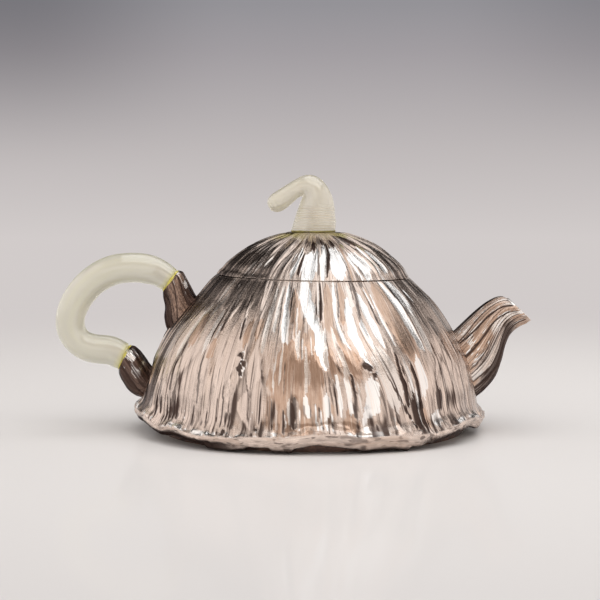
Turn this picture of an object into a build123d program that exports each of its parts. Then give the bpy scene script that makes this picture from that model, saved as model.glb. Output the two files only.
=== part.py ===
"""Leaf-form silver teapot with a glass handle and a glass stem knob, millimetres, +Z up.

The pot stands on the plane z = 0 with its own axis on Z.  The spout points to +X and the handle to -X.
A pleated silver wall carries the soldered pieces (collar, base, foot, spout, strainer and two handle
sockets).  The glass handle sits on a silver peg in each socket, bedded on a thin ring of yellow cement.
The pleated lid drops into the collar on its own flange, and its knob is held by a stud, washer and nut.
"""
from build123d import *

import os
from math import atan2, cos, degrees, pi, radians, sin

# ---- driving dimensions ---------------------------------------------------------------------------
LID_WALL = 1.1                # silver wall of the lid
PLEATS = 26                   # pleats round the body and the lid
PLEAT_POINTS = 4              # outline points for each pleat
BODY_PLEAT_TOP = 0.15         # half depth of a pleat at the seam
BODY_PLEAT_HEM = 0.75         # half depth of a pleat at the hem
LID_PLEAT = 0.15              # half depth of a pleat on the lid

SEAM_Z = 59.0                 # where the lid rests
SEAM_GAP = 0.3                # the dark line between the lid and the body
SEAM_R = 36.5                 # radius of both at the seam
HEM_BOTTOM_Z = 2.5            # the hem hangs just clear of the table

COLLAR_OUT_R = 34.9           # ring soldered in the mouth
COLLAR_WALL = 1.2
COLLAR_DEPTH = 7.5
FLANGE_GAP = 0.3              # the lid's flange slides in the collar with this much room
FLANGE_WALL = 1.1
FLANGE_DEPTH = 7.0            # how far the flange reaches into the pot
RIM_BEAD = 1.8                # height of the thickened rims of body and lid

BASE_R = 61.0                 # base plate, soldered inside the wall
BASE_Z = 5.0
BASE_WALL = 1.1
FOOT_OUT_R = 57.0             # ring that the pot stands on
FOOT_WIDTH = 2.0

TOP_Z = 75.5                  # flat boss on the lid, under the knob
BOSS_R = 8.3
STUD_R = 1.75
STUD_TOP_Z = 85.0
STUD_END_Z = 69.6
WASHER_R, WASHER_T = 4.6, 0.7
NUT_FLATS, NUT_T = 6.4, 2.6
VENT_R = 0.9                  # steam vent, behind the knob
VENT_Y = 13.5

CEMENT_T = 0.5                # thickness of each ring of cement
PEG_R = 1.6
PEG_IN_GLASS = 7.0
PEG_IN_SOCKET = 5.0

SPOUT_WALL = 1.1
PORT_R = 7.5                  # hole through the body wall behind the spout
PORT_TILT = 17.5              # the port follows the wall's own slope, degrees above level
PORT_X, PORT_Z = 60.2, 26.2   # where the port's axis meets the wall
STRAINER_WALL = 0.8
STRAINER_DEPTH = 6.0
STRAINER_SET_BACK = 1.0       # its rim lies this far inside the wall's outer face
STRAINER_HOLE_R = 0.9
STRAINER_PITCH = 2.6          # between the two circles of holes

# Mean outer profile of the body, (radius, height), from the seam down to the hem.
BODY_PROFILE = [(SEAM_R, SEAM_Z - SEAM_GAP), (42.4, 53.0), (48.6, 46.5), (54.8, 38.0), (59.4, 28.5),
                (62.3, 19.5), (64.0, 12.5), (66.2, 7.5), (66.6, 5.0), (65.6, HEM_BOTTOM_Z)]
# Inner profile: about 1.1 inside the bottoms of the pleats, with a straight band where the base plate is soldered.
BODY_INNER = [(36.6, 57.0), (41.2, 52.0), (47.3, 45.5), (53.3, 37.4), (58.0, 27.8), (60.7, 19.0), (BASE_R, 12.0)]
# Mean outer profile of the lid, from the seam up to the boss, and its inside.
LID_PROFILE = [(SEAM_R - 0.1, SEAM_Z), (34.2, 61.9), (31.5, 64.7), (25.7, 69.1), (18.8, 72.5), (12.9, 74.5)]
LID_INNER = [(33.5, 61.0), (30.6, 63.9), (24.9, 68.1), (18.2, 71.5), (12.5, 73.4), (BOSS_R, TOP_Z - LID_WALL)]

# Centre line of the glass handle from the upper socket round to the lower one, (x, z).
HANDLE_LINE = [(-54.5, 56.9), (-61.4, 61.3), (-73.6, 61.3), (-83.6, 56.2), (-90.4, 47.5),
               (-91.6, 38.5), (-87.4, 32.2), (-79.5, 30.3), (-72.7, 28.0)]
HANDLE_R = 5.7
HANDLE_UPPER_R = 4.6
HANDLE_LOWER_R = 5.1
UPPER_TILT = -36.0            # slope of the handle's ends as they enter the sockets, degrees
LOWER_TILT = -28.0

# Knob: a tapering stem, an elbow and a short arm that ends in a round tip, (x, z, radius).
KNOB_STEM = [(0.0, TOP_Z + CEMENT_T, BOSS_R), (0.7, 80.9, 7.7), (1.3, 86.0, 6.5), (1.3, 90.8, 5.6)]
KNOB_ELBOW = (0.7, 91.5, 5.6)
KNOB_TIP = (-13.4, 86.6, 3.95)

# Sections of the spout and the two sockets: (x and z of the upper edge, x and z of the lower edge,
# half width across).  Each runs from the free end to a section buried in the body, and a socket's
# first section is the round end that meets the cement.
SPOUT_SECTIONS = [((73.9, 50.2), (83.2, 41.5), 5.2), ((71.9, 50.2), (78.0, 39.7), 5.5),
                  ((69.6, 49.7), (74.6, 36.6), 6.0), ((66.2, 48.1), (72.7, 31.8), 7.0),
                  ((62.3, 45.1), (71.3, 26.2), 8.3), ((57.6, 40.6), (67.6, 19.0), 9.6),
                  ((50.5, 34.0), (58.0, 11.0), 10.5)]
UPPER_SOCKET = [((-49.8, 58.8), (-56.2, 49.9), 4.7),
                ((-47.7, 55.6), (-56.1, 45.2), 5.4), ((-45.2, 51.6), (-55.3, 38.2), 6.6),
                ((-41.0, 46.5), (-51.5, 33.0), 7.4)]
LOWER_SOCKET = [((-66.8, 30.4), (-73.0, 20.6), 5.7),
                ((-64.3, 27.2), (-71.0, 17.0), 6.1), ((-61.5, 23.6), (-67.2, 13.6), 6.2),
                ((-57.5, 20.5), (-62.0, 12.0), 6.0)]


# ---- helpers ------------------------------------------------------------------------------------
def xz(point):
    """A (radius or x, z) pair as a point in the XZ plane."""
    return (point[0], 0, point[1])


def ring(r_out, r_in, z_low, z_high):
    """A flat ring or tube about Z between two heights."""
    height = z_high - z_low
    tube = Cylinder(r_out, height) - Cylinder(r_in, height + 2)
    return Pos(0, 0, (z_low + z_high) / 2) * tube


def turned(outline):
    """A solid of revolution about Z from a closed (radius, height) face in the XZ plane."""
    return revolve(make_face(outline), Axis.Z)


def at(x, z, tilt):
    """The plane square to a direction in the XZ plane that rises by tilt degrees from +X."""
    return Plane(origin=(x, 0, z), x_dir=(0, 1, 0), z_dir=(cos(radians(tilt)), 0, sin(radians(tilt))))


def rod(x, z, tilt, radius, back, ahead):
    """A rod through (x, z) along that direction, from -back to +ahead."""
    centre = (ahead - back) / 2
    return at(x, z, tilt) * (Pos(0, 0, centre) * Cylinder(radius, back + ahead))


def pleated_outline(radius, z, half_depth):
    """A closed face at height z whose edge waves in and out once for each pleat."""
    steps = PLEATS * PLEAT_POINTS
    points = []
    for i in range(steps):
        turn = 2 * pi * i / steps
        r = radius + half_depth * cos(PLEATS * turn)
        points.append((r * cos(turn), r * sin(turn), z))
    return make_face(Spline(*points, periodic=True))


def edge_section(upper, lower, half_width, shrink=0.0, push=0.0):
    """An elliptical section with its two edges at the given (x, z) points, made smaller by shrink all
    round and moved by push along its normal, away from the body."""
    dx, dz = upper[0] - lower[0], upper[1] - lower[1]
    half_height = (dx * dx + dz * dz) ** 0.5 / 2
    tilt = degrees(atan2(-dx, dz))
    plane = at((upper[0] + lower[0]) / 2, (upper[1] + lower[1]) / 2, tilt).offset(push)
    return plane * Ellipse(half_width - shrink, half_height - shrink)


# ---- body ---------------------------------------------------------------------------------------
def body_outside():
    """The pleated outer form of the body, solid right through."""
    sections = []
    for i, (radius, z) in enumerate(BODY_PROFILE):
        share = min(1.0, i / (len(BODY_PROFILE) - 3))
        depth = BODY_PLEAT_TOP + (BODY_PLEAT_HEM - BODY_PLEAT_TOP) * share
        sections.append(pleated_outline(radius, z, depth))
    return loft(sections)


def body_inside():
    """The smooth inside of the body, open through the mouth and the bottom of the skirt."""
    bead_z = SEAM_Z - SEAM_GAP - RIM_BEAD
    above = SEAM_Z + 1
    wall = Spline(*[xz(p) for p in BODY_INNER])
    outline = Polyline(xz(BODY_INNER[-1]), (BASE_R, 0, BASE_Z), (63.4, 0, HEM_BOTTOM_Z), (63.4, 0, 0), (0, 0, 0),
                       (0, 0, above), (COLLAR_OUT_R, 0, above), (COLLAR_OUT_R, 0, bead_z), xz(BODY_INNER[0]))
    return turned(Curve() + wall + outline)


def body_shell(outside):
    port = rod(PORT_X, PORT_Z, PORT_TILT, PORT_R, STRAINER_DEPTH, STRAINER_DEPTH)
    return outside - body_inside() - port


def mouth_collar():
    return ring(COLLAR_OUT_R, COLLAR_OUT_R - COLLAR_WALL, SEAM_Z - COLLAR_DEPTH, SEAM_Z)


def base_plate():
    return Pos(0, 0, BASE_Z + BASE_WALL / 2) * Cylinder(BASE_R, BASE_WALL)


def foot_ring():
    return ring(FOOT_OUT_R, FOOT_OUT_R - FOOT_WIDTH, 0, BASE_Z)


def strainer():
    """A short cup in the port with a drilled end, in the pot."""
    cup = rod(PORT_X, PORT_Z, PORT_TILT, PORT_R, STRAINER_DEPTH, -STRAINER_SET_BACK)
    cup -= rod(PORT_X, PORT_Z, PORT_TILT, PORT_R - STRAINER_WALL, STRAINER_DEPTH - STRAINER_WALL, 1)
    end = at(PORT_X, PORT_Z, PORT_TILT).offset(-STRAINER_DEPTH)
    drill = Pos(0, 0, STRAINER_WALL / 2) * Cylinder(STRAINER_HOLE_R, 3 * STRAINER_WALL)
    cup -= end * drill
    for circle, count in ((1, 6), (2, 12)):
        for spot in PolarLocations(circle * STRAINER_PITCH, count):
            cup -= end * spot * drill
    return cup


def spout(outside):
    """The spout's shell, cut to sit on the outside of the body wall."""
    outer = loft([edge_section(*s) for s in SPOUT_SECTIONS])
    mouth = edge_section(*SPOUT_SECTIONS[0], shrink=SPOUT_WALL - 0.1, push=1.5)
    inner = loft([mouth] + [edge_section(*s, shrink=SPOUT_WALL) for s in SPOUT_SECTIONS])
    return outer - inner - outside


def socket(sections, end, tilt, radius, outside):
    """A solid silver socket from the handle's end to the body wall, bored for its peg."""
    round_end = at(*end, tilt).offset(CEMENT_T) * Circle(radius)
    form = loft([round_end] + [edge_section(*s) for s in sections])
    return form - rod(*end, tilt, PEG_R, 1, CEMENT_T + PEG_IN_SOCKET) - outside


# ---- handle -------------------------------------------------------------------------------------
def handle_ends():
    """The centre of each end face of the glass, with its direction and radius."""
    upper, lower = HANDLE_LINE[0], HANDLE_LINE[-1]
    return (upper, UPPER_TILT, HANDLE_UPPER_R), (lower, LOWER_TILT, HANDLE_LOWER_R)


def handle_grip():
    """The bent glass rod, a little thinner at both ends and bored at each for a peg."""
    start = (-cos(radians(UPPER_TILT)), 0, -sin(radians(UPPER_TILT)))
    finish = (cos(radians(LOWER_TILT)), 0, sin(radians(LOWER_TILT)))
    line = Spline(*[xz(p) for p in HANDLE_LINE], tangents=(start, finish))
    stations = [(0, HANDLE_UPPER_R), (0.04, 5.35), (0.09, HANDLE_R), (0.2, HANDLE_R), (0.31, HANDLE_R),
                (0.42, HANDLE_R), (0.53, HANDLE_R), (0.62, HANDLE_R), (0.70, HANDLE_R), (0.77, HANDLE_R),
                (0.85, HANDLE_R), (0.93, 5.5), (1, HANDLE_LOWER_R)]
    sections = []
    for share, radius in stations:
        plane = Plane(origin=line @ share, x_dir=(0, 1, 0), z_dir=line % share)
        sections.append(plane * Circle(radius))
    glass = loft(sections)
    for end, tilt, _ in handle_ends():
        glass -= rod(*end, tilt, PEG_R, PEG_IN_GLASS, 1)
    return glass


def handle_peg(end, tilt):
    return rod(*end, tilt, PEG_R, PEG_IN_GLASS, CEMENT_T + PEG_IN_SOCKET)


def handle_cement(end, tilt, radius):
    """The ring of cement between the glass and the socket."""
    return rod(*end, tilt, radius, 0, CEMENT_T) - rod(*end, tilt, PEG_R, 1, 1)


# ---- lid ----------------------------------------------------------------------------------------
def lid_shell():
    sections = [pleated_outline(r, z, LID_PLEAT) for r, z in LID_PROFILE]
    sections.append(pleated_outline(BOSS_R + 0.3, TOP_Z, 0.02))
    outside = loft(sections)
    rim_r = COLLAR_OUT_R - COLLAR_WALL - FLANGE_GAP
    inner = Spline(*[xz(p) for p in LID_INNER])
    top = TOP_Z - LID_WALL
    outline = Polyline(xz(LID_INNER[-1]), (0, 0, top), (0, 0, SEAM_Z - 1), (rim_r, 0, SEAM_Z - 1),
                       (rim_r, 0, SEAM_Z + RIM_BEAD), xz(LID_INNER[0]))
    hollow = turned(Curve() + inner + outline)
    bore = Pos(0, 0, TOP_Z) * Cylinder(STUD_R, 4 * LID_WALL)
    vent = Pos(0, VENT_Y, TOP_Z) * Cylinder(VENT_R, 6 * LID_WALL)
    return outside - hollow - bore - vent


def lid_flange():
    outer_r = COLLAR_OUT_R - COLLAR_WALL - FLANGE_GAP
    return ring(outer_r, outer_r - FLANGE_WALL, SEAM_Z - FLANGE_DEPTH, SEAM_Z + RIM_BEAD)


def lid_knob():
    """The glass stem: a fluted stalk that bends over and ends in a round tip."""
    stem = loft([Plane(origin=(x, 0, z)) * Circle(r) for x, z, r in KNOB_STEM])
    elbow_x, elbow_z, elbow_r = KNOB_ELBOW
    tip_x, tip_z, tip_r = KNOB_TIP
    tilt = degrees(atan2(tip_z - elbow_z, tip_x - elbow_x))
    arm = loft([at(elbow_x, elbow_z, tilt) * Circle(elbow_r), at(tip_x, tip_z, tilt) * Circle(tip_r)])
    knob = stem + Pos(elbow_x, 0, elbow_z) * Sphere(elbow_r) + arm + Pos(tip_x, 0, tip_z) * Sphere(tip_r)
    drill = STUD_TOP_Z - TOP_Z
    return knob - Pos(0, 0, TOP_Z + drill / 2) * Cylinder(STUD_R, drill)


def knob_cement():
    return ring(BOSS_R, STUD_R, TOP_Z, TOP_Z + CEMENT_T)


def knob_stud():
    return Pos(0, 0, (STUD_END_Z + STUD_TOP_Z) / 2) * Cylinder(STUD_R, STUD_TOP_Z - STUD_END_Z)


def knob_washer():
    top = TOP_Z - LID_WALL
    return ring(WASHER_R, STUD_R, top - WASHER_T, top)


def knob_nut():
    top = TOP_Z - LID_WALL - WASHER_T
    hexagon = extrude(RegularPolygon(NUT_FLATS / 2, 6, major_radius=False), NUT_T)
    return Pos(0, 0, top - NUT_T) * hexagon - Pos(0, 0, top) * Cylinder(STUD_R, 3 * NUT_T)


# ---- write the pieces ---------------------------------------------------------------------------
def main():
    os.makedirs("parts", exist_ok=True)
    outside = body_outside()
    (upper, upper_tilt, upper_r), (lower, lower_tilt, lower_r) = handle_ends()
    pieces = {
        "body_shell": body_shell(outside),
        "mouth_collar": mouth_collar(),
        "base_plate": base_plate(),
        "foot_ring": foot_ring(),
        "spout": spout(outside),
        "spout_strainer": strainer(),
        "upper_socket": socket(UPPER_SOCKET, upper, upper_tilt, upper_r, outside),
        "lower_socket": socket(LOWER_SOCKET, lower, lower_tilt, lower_r, outside),
        "handle_grip": handle_grip(),
        "upper_peg": handle_peg(upper, upper_tilt),
        "lower_peg": handle_peg(lower, lower_tilt),
        "upper_cement": handle_cement(upper, upper_tilt, upper_r),
        "lower_cement": handle_cement(lower, lower_tilt, lower_r),
        "lid_shell": lid_shell(),
        "lid_flange": lid_flange(),
        "lid_knob": lid_knob(),
        "knob_cement": knob_cement(),
        "knob_stud": knob_stud(),
        "knob_washer": knob_washer(),
        "knob_nut": knob_nut(),
    }
    for name, shape in pieces.items():
        export_step(shape, f"parts/{name}.step")


main()
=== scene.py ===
"""Looks for the leaf-form silver teapot: pleated and patinated silver, pale milky glass, soft studio light.

Lengths in this script are millimetres until a mesh is made, and the frame is the CAD model's: the pot stands
on z = 0 with its axis on Z, the spout points to +X and the handle to -X.  The front is -Y.
"""
from math import cos, pi, radians, sin, tan

import bpy
import bmesh
import numpy as np
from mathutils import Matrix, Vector


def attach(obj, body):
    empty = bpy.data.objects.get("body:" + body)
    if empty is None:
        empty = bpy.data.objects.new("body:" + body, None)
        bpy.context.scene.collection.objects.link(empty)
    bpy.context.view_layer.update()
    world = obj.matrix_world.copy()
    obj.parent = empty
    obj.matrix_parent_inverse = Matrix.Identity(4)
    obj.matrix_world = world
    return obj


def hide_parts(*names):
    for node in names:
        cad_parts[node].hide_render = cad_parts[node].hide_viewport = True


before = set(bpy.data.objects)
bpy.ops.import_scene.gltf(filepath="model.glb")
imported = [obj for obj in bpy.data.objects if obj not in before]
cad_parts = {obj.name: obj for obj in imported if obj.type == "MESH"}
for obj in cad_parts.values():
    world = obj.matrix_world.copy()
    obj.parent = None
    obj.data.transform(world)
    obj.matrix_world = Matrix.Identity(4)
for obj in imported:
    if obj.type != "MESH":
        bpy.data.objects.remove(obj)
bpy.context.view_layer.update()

MM = 0.001

# ---- driving sizes ----
SEAM_Z = 59.0                 # where the lid rests
SEAM_GAP = 0.3
SEAM_R = 36.5
SEAM_TILT = 0.018             # the mouth is a little higher towards the handle
COLLAR_R = 34.95              # the silver collar fits inside this
BOSS_R = 8.6                  # flat boss under the knob
BOSS_Z = 75.5
STUD_R = 1.75
FLANGE_R = 33.45              # the lid's flange fits inside this
WALL_MID = 1.3                # how far inside the outer skin the spout and the sockets end
KNOB_FOOT_Z = 76.0            # the foot of the glass knob
RING_PITCH = 1.0              # between the turned rings on the knob's stem
CEMENT_T, KNOB_CEMENT_T = 0.5, 0.3   # about half the width of a line of cement
SEAM_TO_HEM = 64              # about the length of the body's skin
LID_TOP_T = -0.52             # t, which is 0 at the seam, where the lid's pleats end at the boss

# ---- mesh sizes ----
COLUMNS = 880                 # columns of the body and of the lid
EDGE_ROWS = 15                # rows round the hem's thick edge
# rows along each bent form and columns round it
SPOUT_GRID, SOCKET_GRID, KNOB_GRID, HANDLE_GRID = (90, 320), (66, 220), (220, 120), (200, 72)

# ---- outlines ----

# Mean outer profile of the body, (radius, height), from the seam down to the sharp edge of the flared hem.
BODY_OUT = [(36.5, 58.7), (39.3, 56.0), (42.6, 52.6), (48.2, 46.4), (54.6, 37.8), (59.5, 28.5),
            (62.1, 19.5), (63.0, 14.0), (63.6, 10.8), (64.7, 8.8), (66.3, 6.8)]
# The hem's thick raw edge, from its sharp corner down and under to the foot of the inner wall.
HEM_EDGE = [(66.8, 6.2), (66.7, 5.4), (65.9, 4.1), (65.0, 3.0), (63.9, 2.5), (62.5, 3.0), (61.7, 4.6)]
# The inner wall from the hem up to the collar.
BODY_IN = [(61.5, 8.0), (60.9, 13.0), (59.6, 20.0), (56.8, 28.5), (52.0, 37.2), (45.9, 45.2), (40.2, 51.2),
           (36.6, 55.6), (COLLAR_R, 57.0)]
BODY_CENTRE_X = -0.9          # below its shoulder the body leans this far towards the handle
HEM_LIFT_LEFT, HEM_LIFT_RIGHT = 3.1, 2.1   # how far the hem rises on the handle side and beside the spout
HEM_DIP = 1.6                 # and how far it drops in front of that

LID_OUT = [(36.4, 59.0), (34.4, 61.7), (31.6, 64.7), (25.9, 69.1), (19.2, 72.4), (13.2, 74.4),
           (BOSS_R, 75.45)]
LID_IN = [(5.0, 74.4), (12.5, 73.2), (18.2, 71.0), (24.9, 67.4), (30.4, 63.0), (FLANGE_R, 60.6)]

# Sections of the bent forms: x and z of the upper edge, x and z of the lower edge, half width across.
SPOUT = [
    (73.9, 50.2, 83, 41.6, 4.6), (71.6, 50.3, 78.4, 39.9, 5.3), (69.2, 49.6, 75, 37, 5.9),
    (65.8, 47.7, 73, 32.4, 6.9), (62, 44.7, 71.6, 26.6, 8.1), (57.8, 40.9, 69.2, 20.2, 9.3),
    (53.2, 36.6, 64.6, 14.8, 10.2), (48, 32, 58, 10, 10.6),
]
UPPER_SOCKET = [
    (-51, 60.7, -57.2, 52.4, 4.9), (-50, 60, -57, 50.6, 5.2), (-48.6, 57.7, -56.2, 47.2, 5.6),
    (-46.9, 54.6, -56.4, 42.8, 6.2), (-44.6, 50.6, -55.2, 37.6, 7), (-41, 46.5, -51.5, 33, 7.6),
]
LOWER_SOCKET = [
    (-69.6, 32, -74.2, 23, 5.2), (-68.4, 31.6, -73.9, 21.2, 5.7), (-66.2, 29.8, -72.2, 17.9, 6.2),
    (-64, 26.8, -69.8, 14.9, 6.4), (-61.6, 23.4, -66.4, 12.9, 6.3), (-56.5, 19.5, -60, 12, 6),
]
KNOB = [
    (8.3, 76, -8.3, 76, 8.3), (8.75, 78.6, -7.5, 78.6, 8.1), (8.5, 82, -6.5, 82, 7.5),
    (8.1, 85.1, -5.4, 85, 6.8), (7.1, 89.2, -4.5, 87.4, 6), (5, 93.4, -4.1, 88.5, 5.5),
    (2.2, 96, -4.25, 88.8, 5.1), (-0.8, 97, -4.7, 88.75, 4.7), (-4, 96.6, -5.6, 88.2, 4.4),
    (-7.6, 94.8, -6.9, 87, 4.2), (-10.8, 92.8, -8.7, 85.4, 4), (-13.7, 91, -11.3, 83.6, 3.8),
    (-15.7, 89.6, -13.7, 82.9, 3.3), (-17, 88, -15.8, 83.5, 2.2), (-17.4, 86.4, -16.9, 84.9, 0.8),
]

# Centre line of the glass handle from the upper socket round to the lower one: x, z and its radius there.
HANDLE = [
    (-54.3, 56.8, 4.75), (-58, 59.4, 5.1), (-62.7, 61.1, 5.6), (-69, 61.7, 5.6), (-76.2, 60.7, 5.7),
    (-83.2, 57.1, 5.7), (-88.8, 51.3, 5.7), (-92.2, 44.4, 5.6), (-92.3, 38.2, 5.45), (-89.3, 33.4, 5.35),
    (-84.3, 30.9, 5.5), (-77.4, 30, 5.5), (-72.3, 27.7, 5.2),
]


# ---- numbers and curves ----
def smooth(low, high, x):
    """A soft step: 0 at low and before it, 1 at high and beyond it.  high may be the smaller of the two."""
    t = np.clip((x - low) / (high - low), 0, 1)
    return t * t * (3 - 2 * t)


def bump(x, centre, width):
    """A soft hill, 1 at its centre."""
    return np.exp(-(((x - centre) / width) ** 2))


def lattice(u, v, columns, seed):
    """Smooth noise from -1 to 1.  u counts cells round a form, and repeats after columns; v counts rows."""
    rows = 48
    table = np.random.default_rng(seed).uniform(-1, 1, (rows, columns))
    iu, iv = np.floor(u), np.floor(v)
    fu, fv = smooth(0, 1, u - iu), smooth(0, 1, v - iv)
    iu, iv = iu.astype(int) % columns, iv.astype(int) % rows
    ju, jv = (iu + 1) % columns, (iv + 1) % rows
    above = table[iv, iu] * (1 - fu) + table[iv, ju] * fu
    below = table[jv, iu] * (1 - fu) + table[jv, ju] * fu
    return above * (1 - fv) + below * fv


def noise(cell, v, columns, seed):
    """The same noise for a share of the way round the form, with that many columns to the full turn."""
    return lattice(cell * columns, v, columns, seed)


def catmull(points, count):
    """count points evenly spaced along a smooth curve through the given ones, any number of values each."""
    p = np.array(points, float)
    p = np.vstack([2 * p[0] - p[1], p, 2 * p[-1] - p[-2]])
    fine = []
    for i in range(1, len(p) - 2):
        for t in np.linspace(0, 1, 24, endpoint=False):
            fine.append(0.5 * (2 * p[i] + (p[i + 1] - p[i - 1]) * t
                               + (2 * p[i - 1] - 5 * p[i] + 4 * p[i + 1] - p[i + 2]) * t * t
                               + (3 * p[i] - 3 * p[i + 1] + p[i + 2] - p[i - 1]) * t ** 3))
    fine = np.array(fine + [p[-2]])
    along = np.r_[0, np.cumsum(np.linalg.norm(np.diff(fine, axis=0), axis=1))]
    want = np.linspace(0, along[-1], count)
    return np.stack([np.interp(want, along, fine[:, k]) for k in range(fine.shape[1])], axis=1)


# ---- meshes ----
def grid_mesh(name, points, closed_rows=False, capped=False, attributes=None):
    """A mesh from a grid of points in millimetres, (rows, columns, 3).  Columns always close on themselves.
    closed_rows also joins the last row to the first; capped closes both ends with a fan."""
    rows, columns, _ = points.shape
    vertices = (points.reshape(-1, 3) * MM).tolist()
    index = np.arange(rows * columns).reshape(rows, columns)
    right = np.roll(index, -1, axis=1)
    if closed_rows:
        below, below_right = np.roll(index, -1, axis=0), np.roll(right, -1, axis=0)
    else:
        index, right, below, below_right = index[:-1], right[:-1], index[1:], right[1:]
    faces = np.stack([index, below, below_right, right], axis=-1).reshape(-1, 4).tolist()
    if capped:
        for row, flip in ((0, False), (rows - 1, True)):
            centre = len(vertices)
            vertices.append((points[row].mean(axis=0) * MM).tolist())
            start = row * columns
            for i in range(columns):
                a, b = start + i, start + (i + 1) % columns
                faces.append([b, centre, a] if flip else [a, centre, b])
    mesh = bpy.data.meshes.new(name)
    mesh.from_pydata(vertices, [], faces)
    for key, values in (attributes or {}).items():
        flat = values.reshape(-1, 3) if values.ndim == 3 else values.reshape(-1)
        extra = len(vertices) - len(flat)     # the centres of the caps, which take the last values
        if extra:
            flat = np.concatenate([flat, flat[-extra:]])
        kind = "FLOAT_VECTOR" if values.ndim == 3 else "FLOAT"
        layer = mesh.attributes.new(key, kind, "POINT")
        layer.data.foreach_set("vector" if values.ndim == 3 else "value", flat.astype(np.float32).ravel())
    work = bmesh.new()
    work.from_mesh(mesh)
    bmesh.ops.recalc_face_normals(work, faces=work.faces)
    for face in work.faces:
        face.smooth = True
    work.to_mesh(mesh)
    work.free()
    piece = bpy.data.objects.new(name, mesh)
    bpy.context.scene.collection.objects.link(piece)
    return piece


def polar(radius, azimuth, z):
    """Points from a radius, an azimuth from the front towards the spout, and a height."""
    return np.stack([radius * np.sin(azimuth), -radius * np.cos(azimuth), z], axis=-1)


def place(piece, body, slot, material, *nodes):
    """Puts a finished piece on its body, in place of the CAD nodes that it stands for."""
    piece.data.materials.append(material)
    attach(piece, body)
    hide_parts(*nodes)


def by_row(like, rows, values):
    """Values that change only from row to row, with straight stretches between the named rows."""
    return np.interp(np.arange(len(like)), rows, values)[:, None] + 0 * like


def ring_grid(rows, columns):
    """The angle round a bent form and the share along it, as (rows, columns) grids."""
    angle = np.linspace(0, 2 * pi, columns, endpoint=False)[None, :] + np.zeros((rows, 1))
    return angle, np.linspace(0, 1, rows)[:, None] + 0 * angle


def soften(height):
    """Evens a height out a little between neighbouring columns."""
    return (np.roll(height, 1, axis=1) + 2 * height + np.roll(height, -1, axis=1)) / 4


# ---- the pleats ----
def body_drift(line):
    """How far, in radians, a pleat that leaves the seam at azimuth line has drifted by the hem."""
    turn = np.degrees(line)
    return np.radians(11 * bump(turn, 21, 17) - 4 * bump(turn, -62, 22) + 3 * bump(turn, 140, 40))


def lid_drift(line):
    """How far a pleat that meets the seam at azimuth line has drifted by the boss, seen from the front."""
    turn = np.degrees(line)
    return np.radians(7 * bump(turn, -22, 26) - 9 * bump(turn, 40, 18))


def planks(cell, t, count, wander, seed):
    """Splits every row into planks whose edges run down it, wander, meet and part.  cell is the share of a
    full turn from the front.  Gives the share across the plank (0 to 1), its number and its width against
    the mean.  The edges hold still at the back, where the count starts."""
    order = np.arange(count)
    home = (order + 0.5 + np.random.default_rng(seed).uniform(-0.45, 0.45, count)) / count
    roam = wander / count * np.clip(np.minimum(home, 1 - home) * count / 4, 0, 1)
    across, number, width = np.empty_like(cell), np.empty(cell.shape, int), np.empty_like(cell)
    for row, level in enumerate(t[:, 0]):
        edge = np.sort(home + roam * lattice(order, level * 2.4 + 8, count, seed + 1))
        edge = np.r_[edge[-2:] - 1, edge, edge[:2] + 1]
        spot = (cell[row] + 0.5) % 1
        found = np.searchsorted(edge, spot, "right") - 1
        low, high = edge[found], edge[found + 1]
        across[row] = (spot - low) / np.maximum(high - low, 1e-4)
        number[row] = (found - 1) % count
        width[row] = (high - low) * count
    return across, number, width


def folds(cell, t, count, rise, facet, wander, slow, seed):
    """One size of pleat.  Planks arch up by rise between creases, and their edges lie at heights up to
    facet, in mm, that change slowly on the way down.  Gives the height and how near it is to a crease."""
    across, number, width = planks(cell, t, count, wander, seed)
    vary = 0.6 + 0.4 * lattice(number, t * slow + 8, count, seed + 2)
    low = lattice(number, t * 1.5 * slow + 8, count, seed + 3)
    high = lattice((number + 1) % count, t * 1.5 * slow + 8, count, seed + 3)
    side = np.abs(2 * across - 1)
    small = np.minimum(1, width)
    height = small * rise * vary * (0.6 - side ** 2.4) + facet * (low + (high - low) * across)
    return height, smooth(0.66, 1.0, side) * small * vary


DARKS = ("grey", "brown", "black")
FINISHES = ("white", "pale", "tan") + DARKS
# How far a blade of each finish stands out of the skin or sinks into it, in mm.
BLADE_RISE = {"white": 0.26, "pale": 0.14, "tan": -0.16, "grey": -0.30, "brown": -0.55, "black": -0.9}
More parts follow.
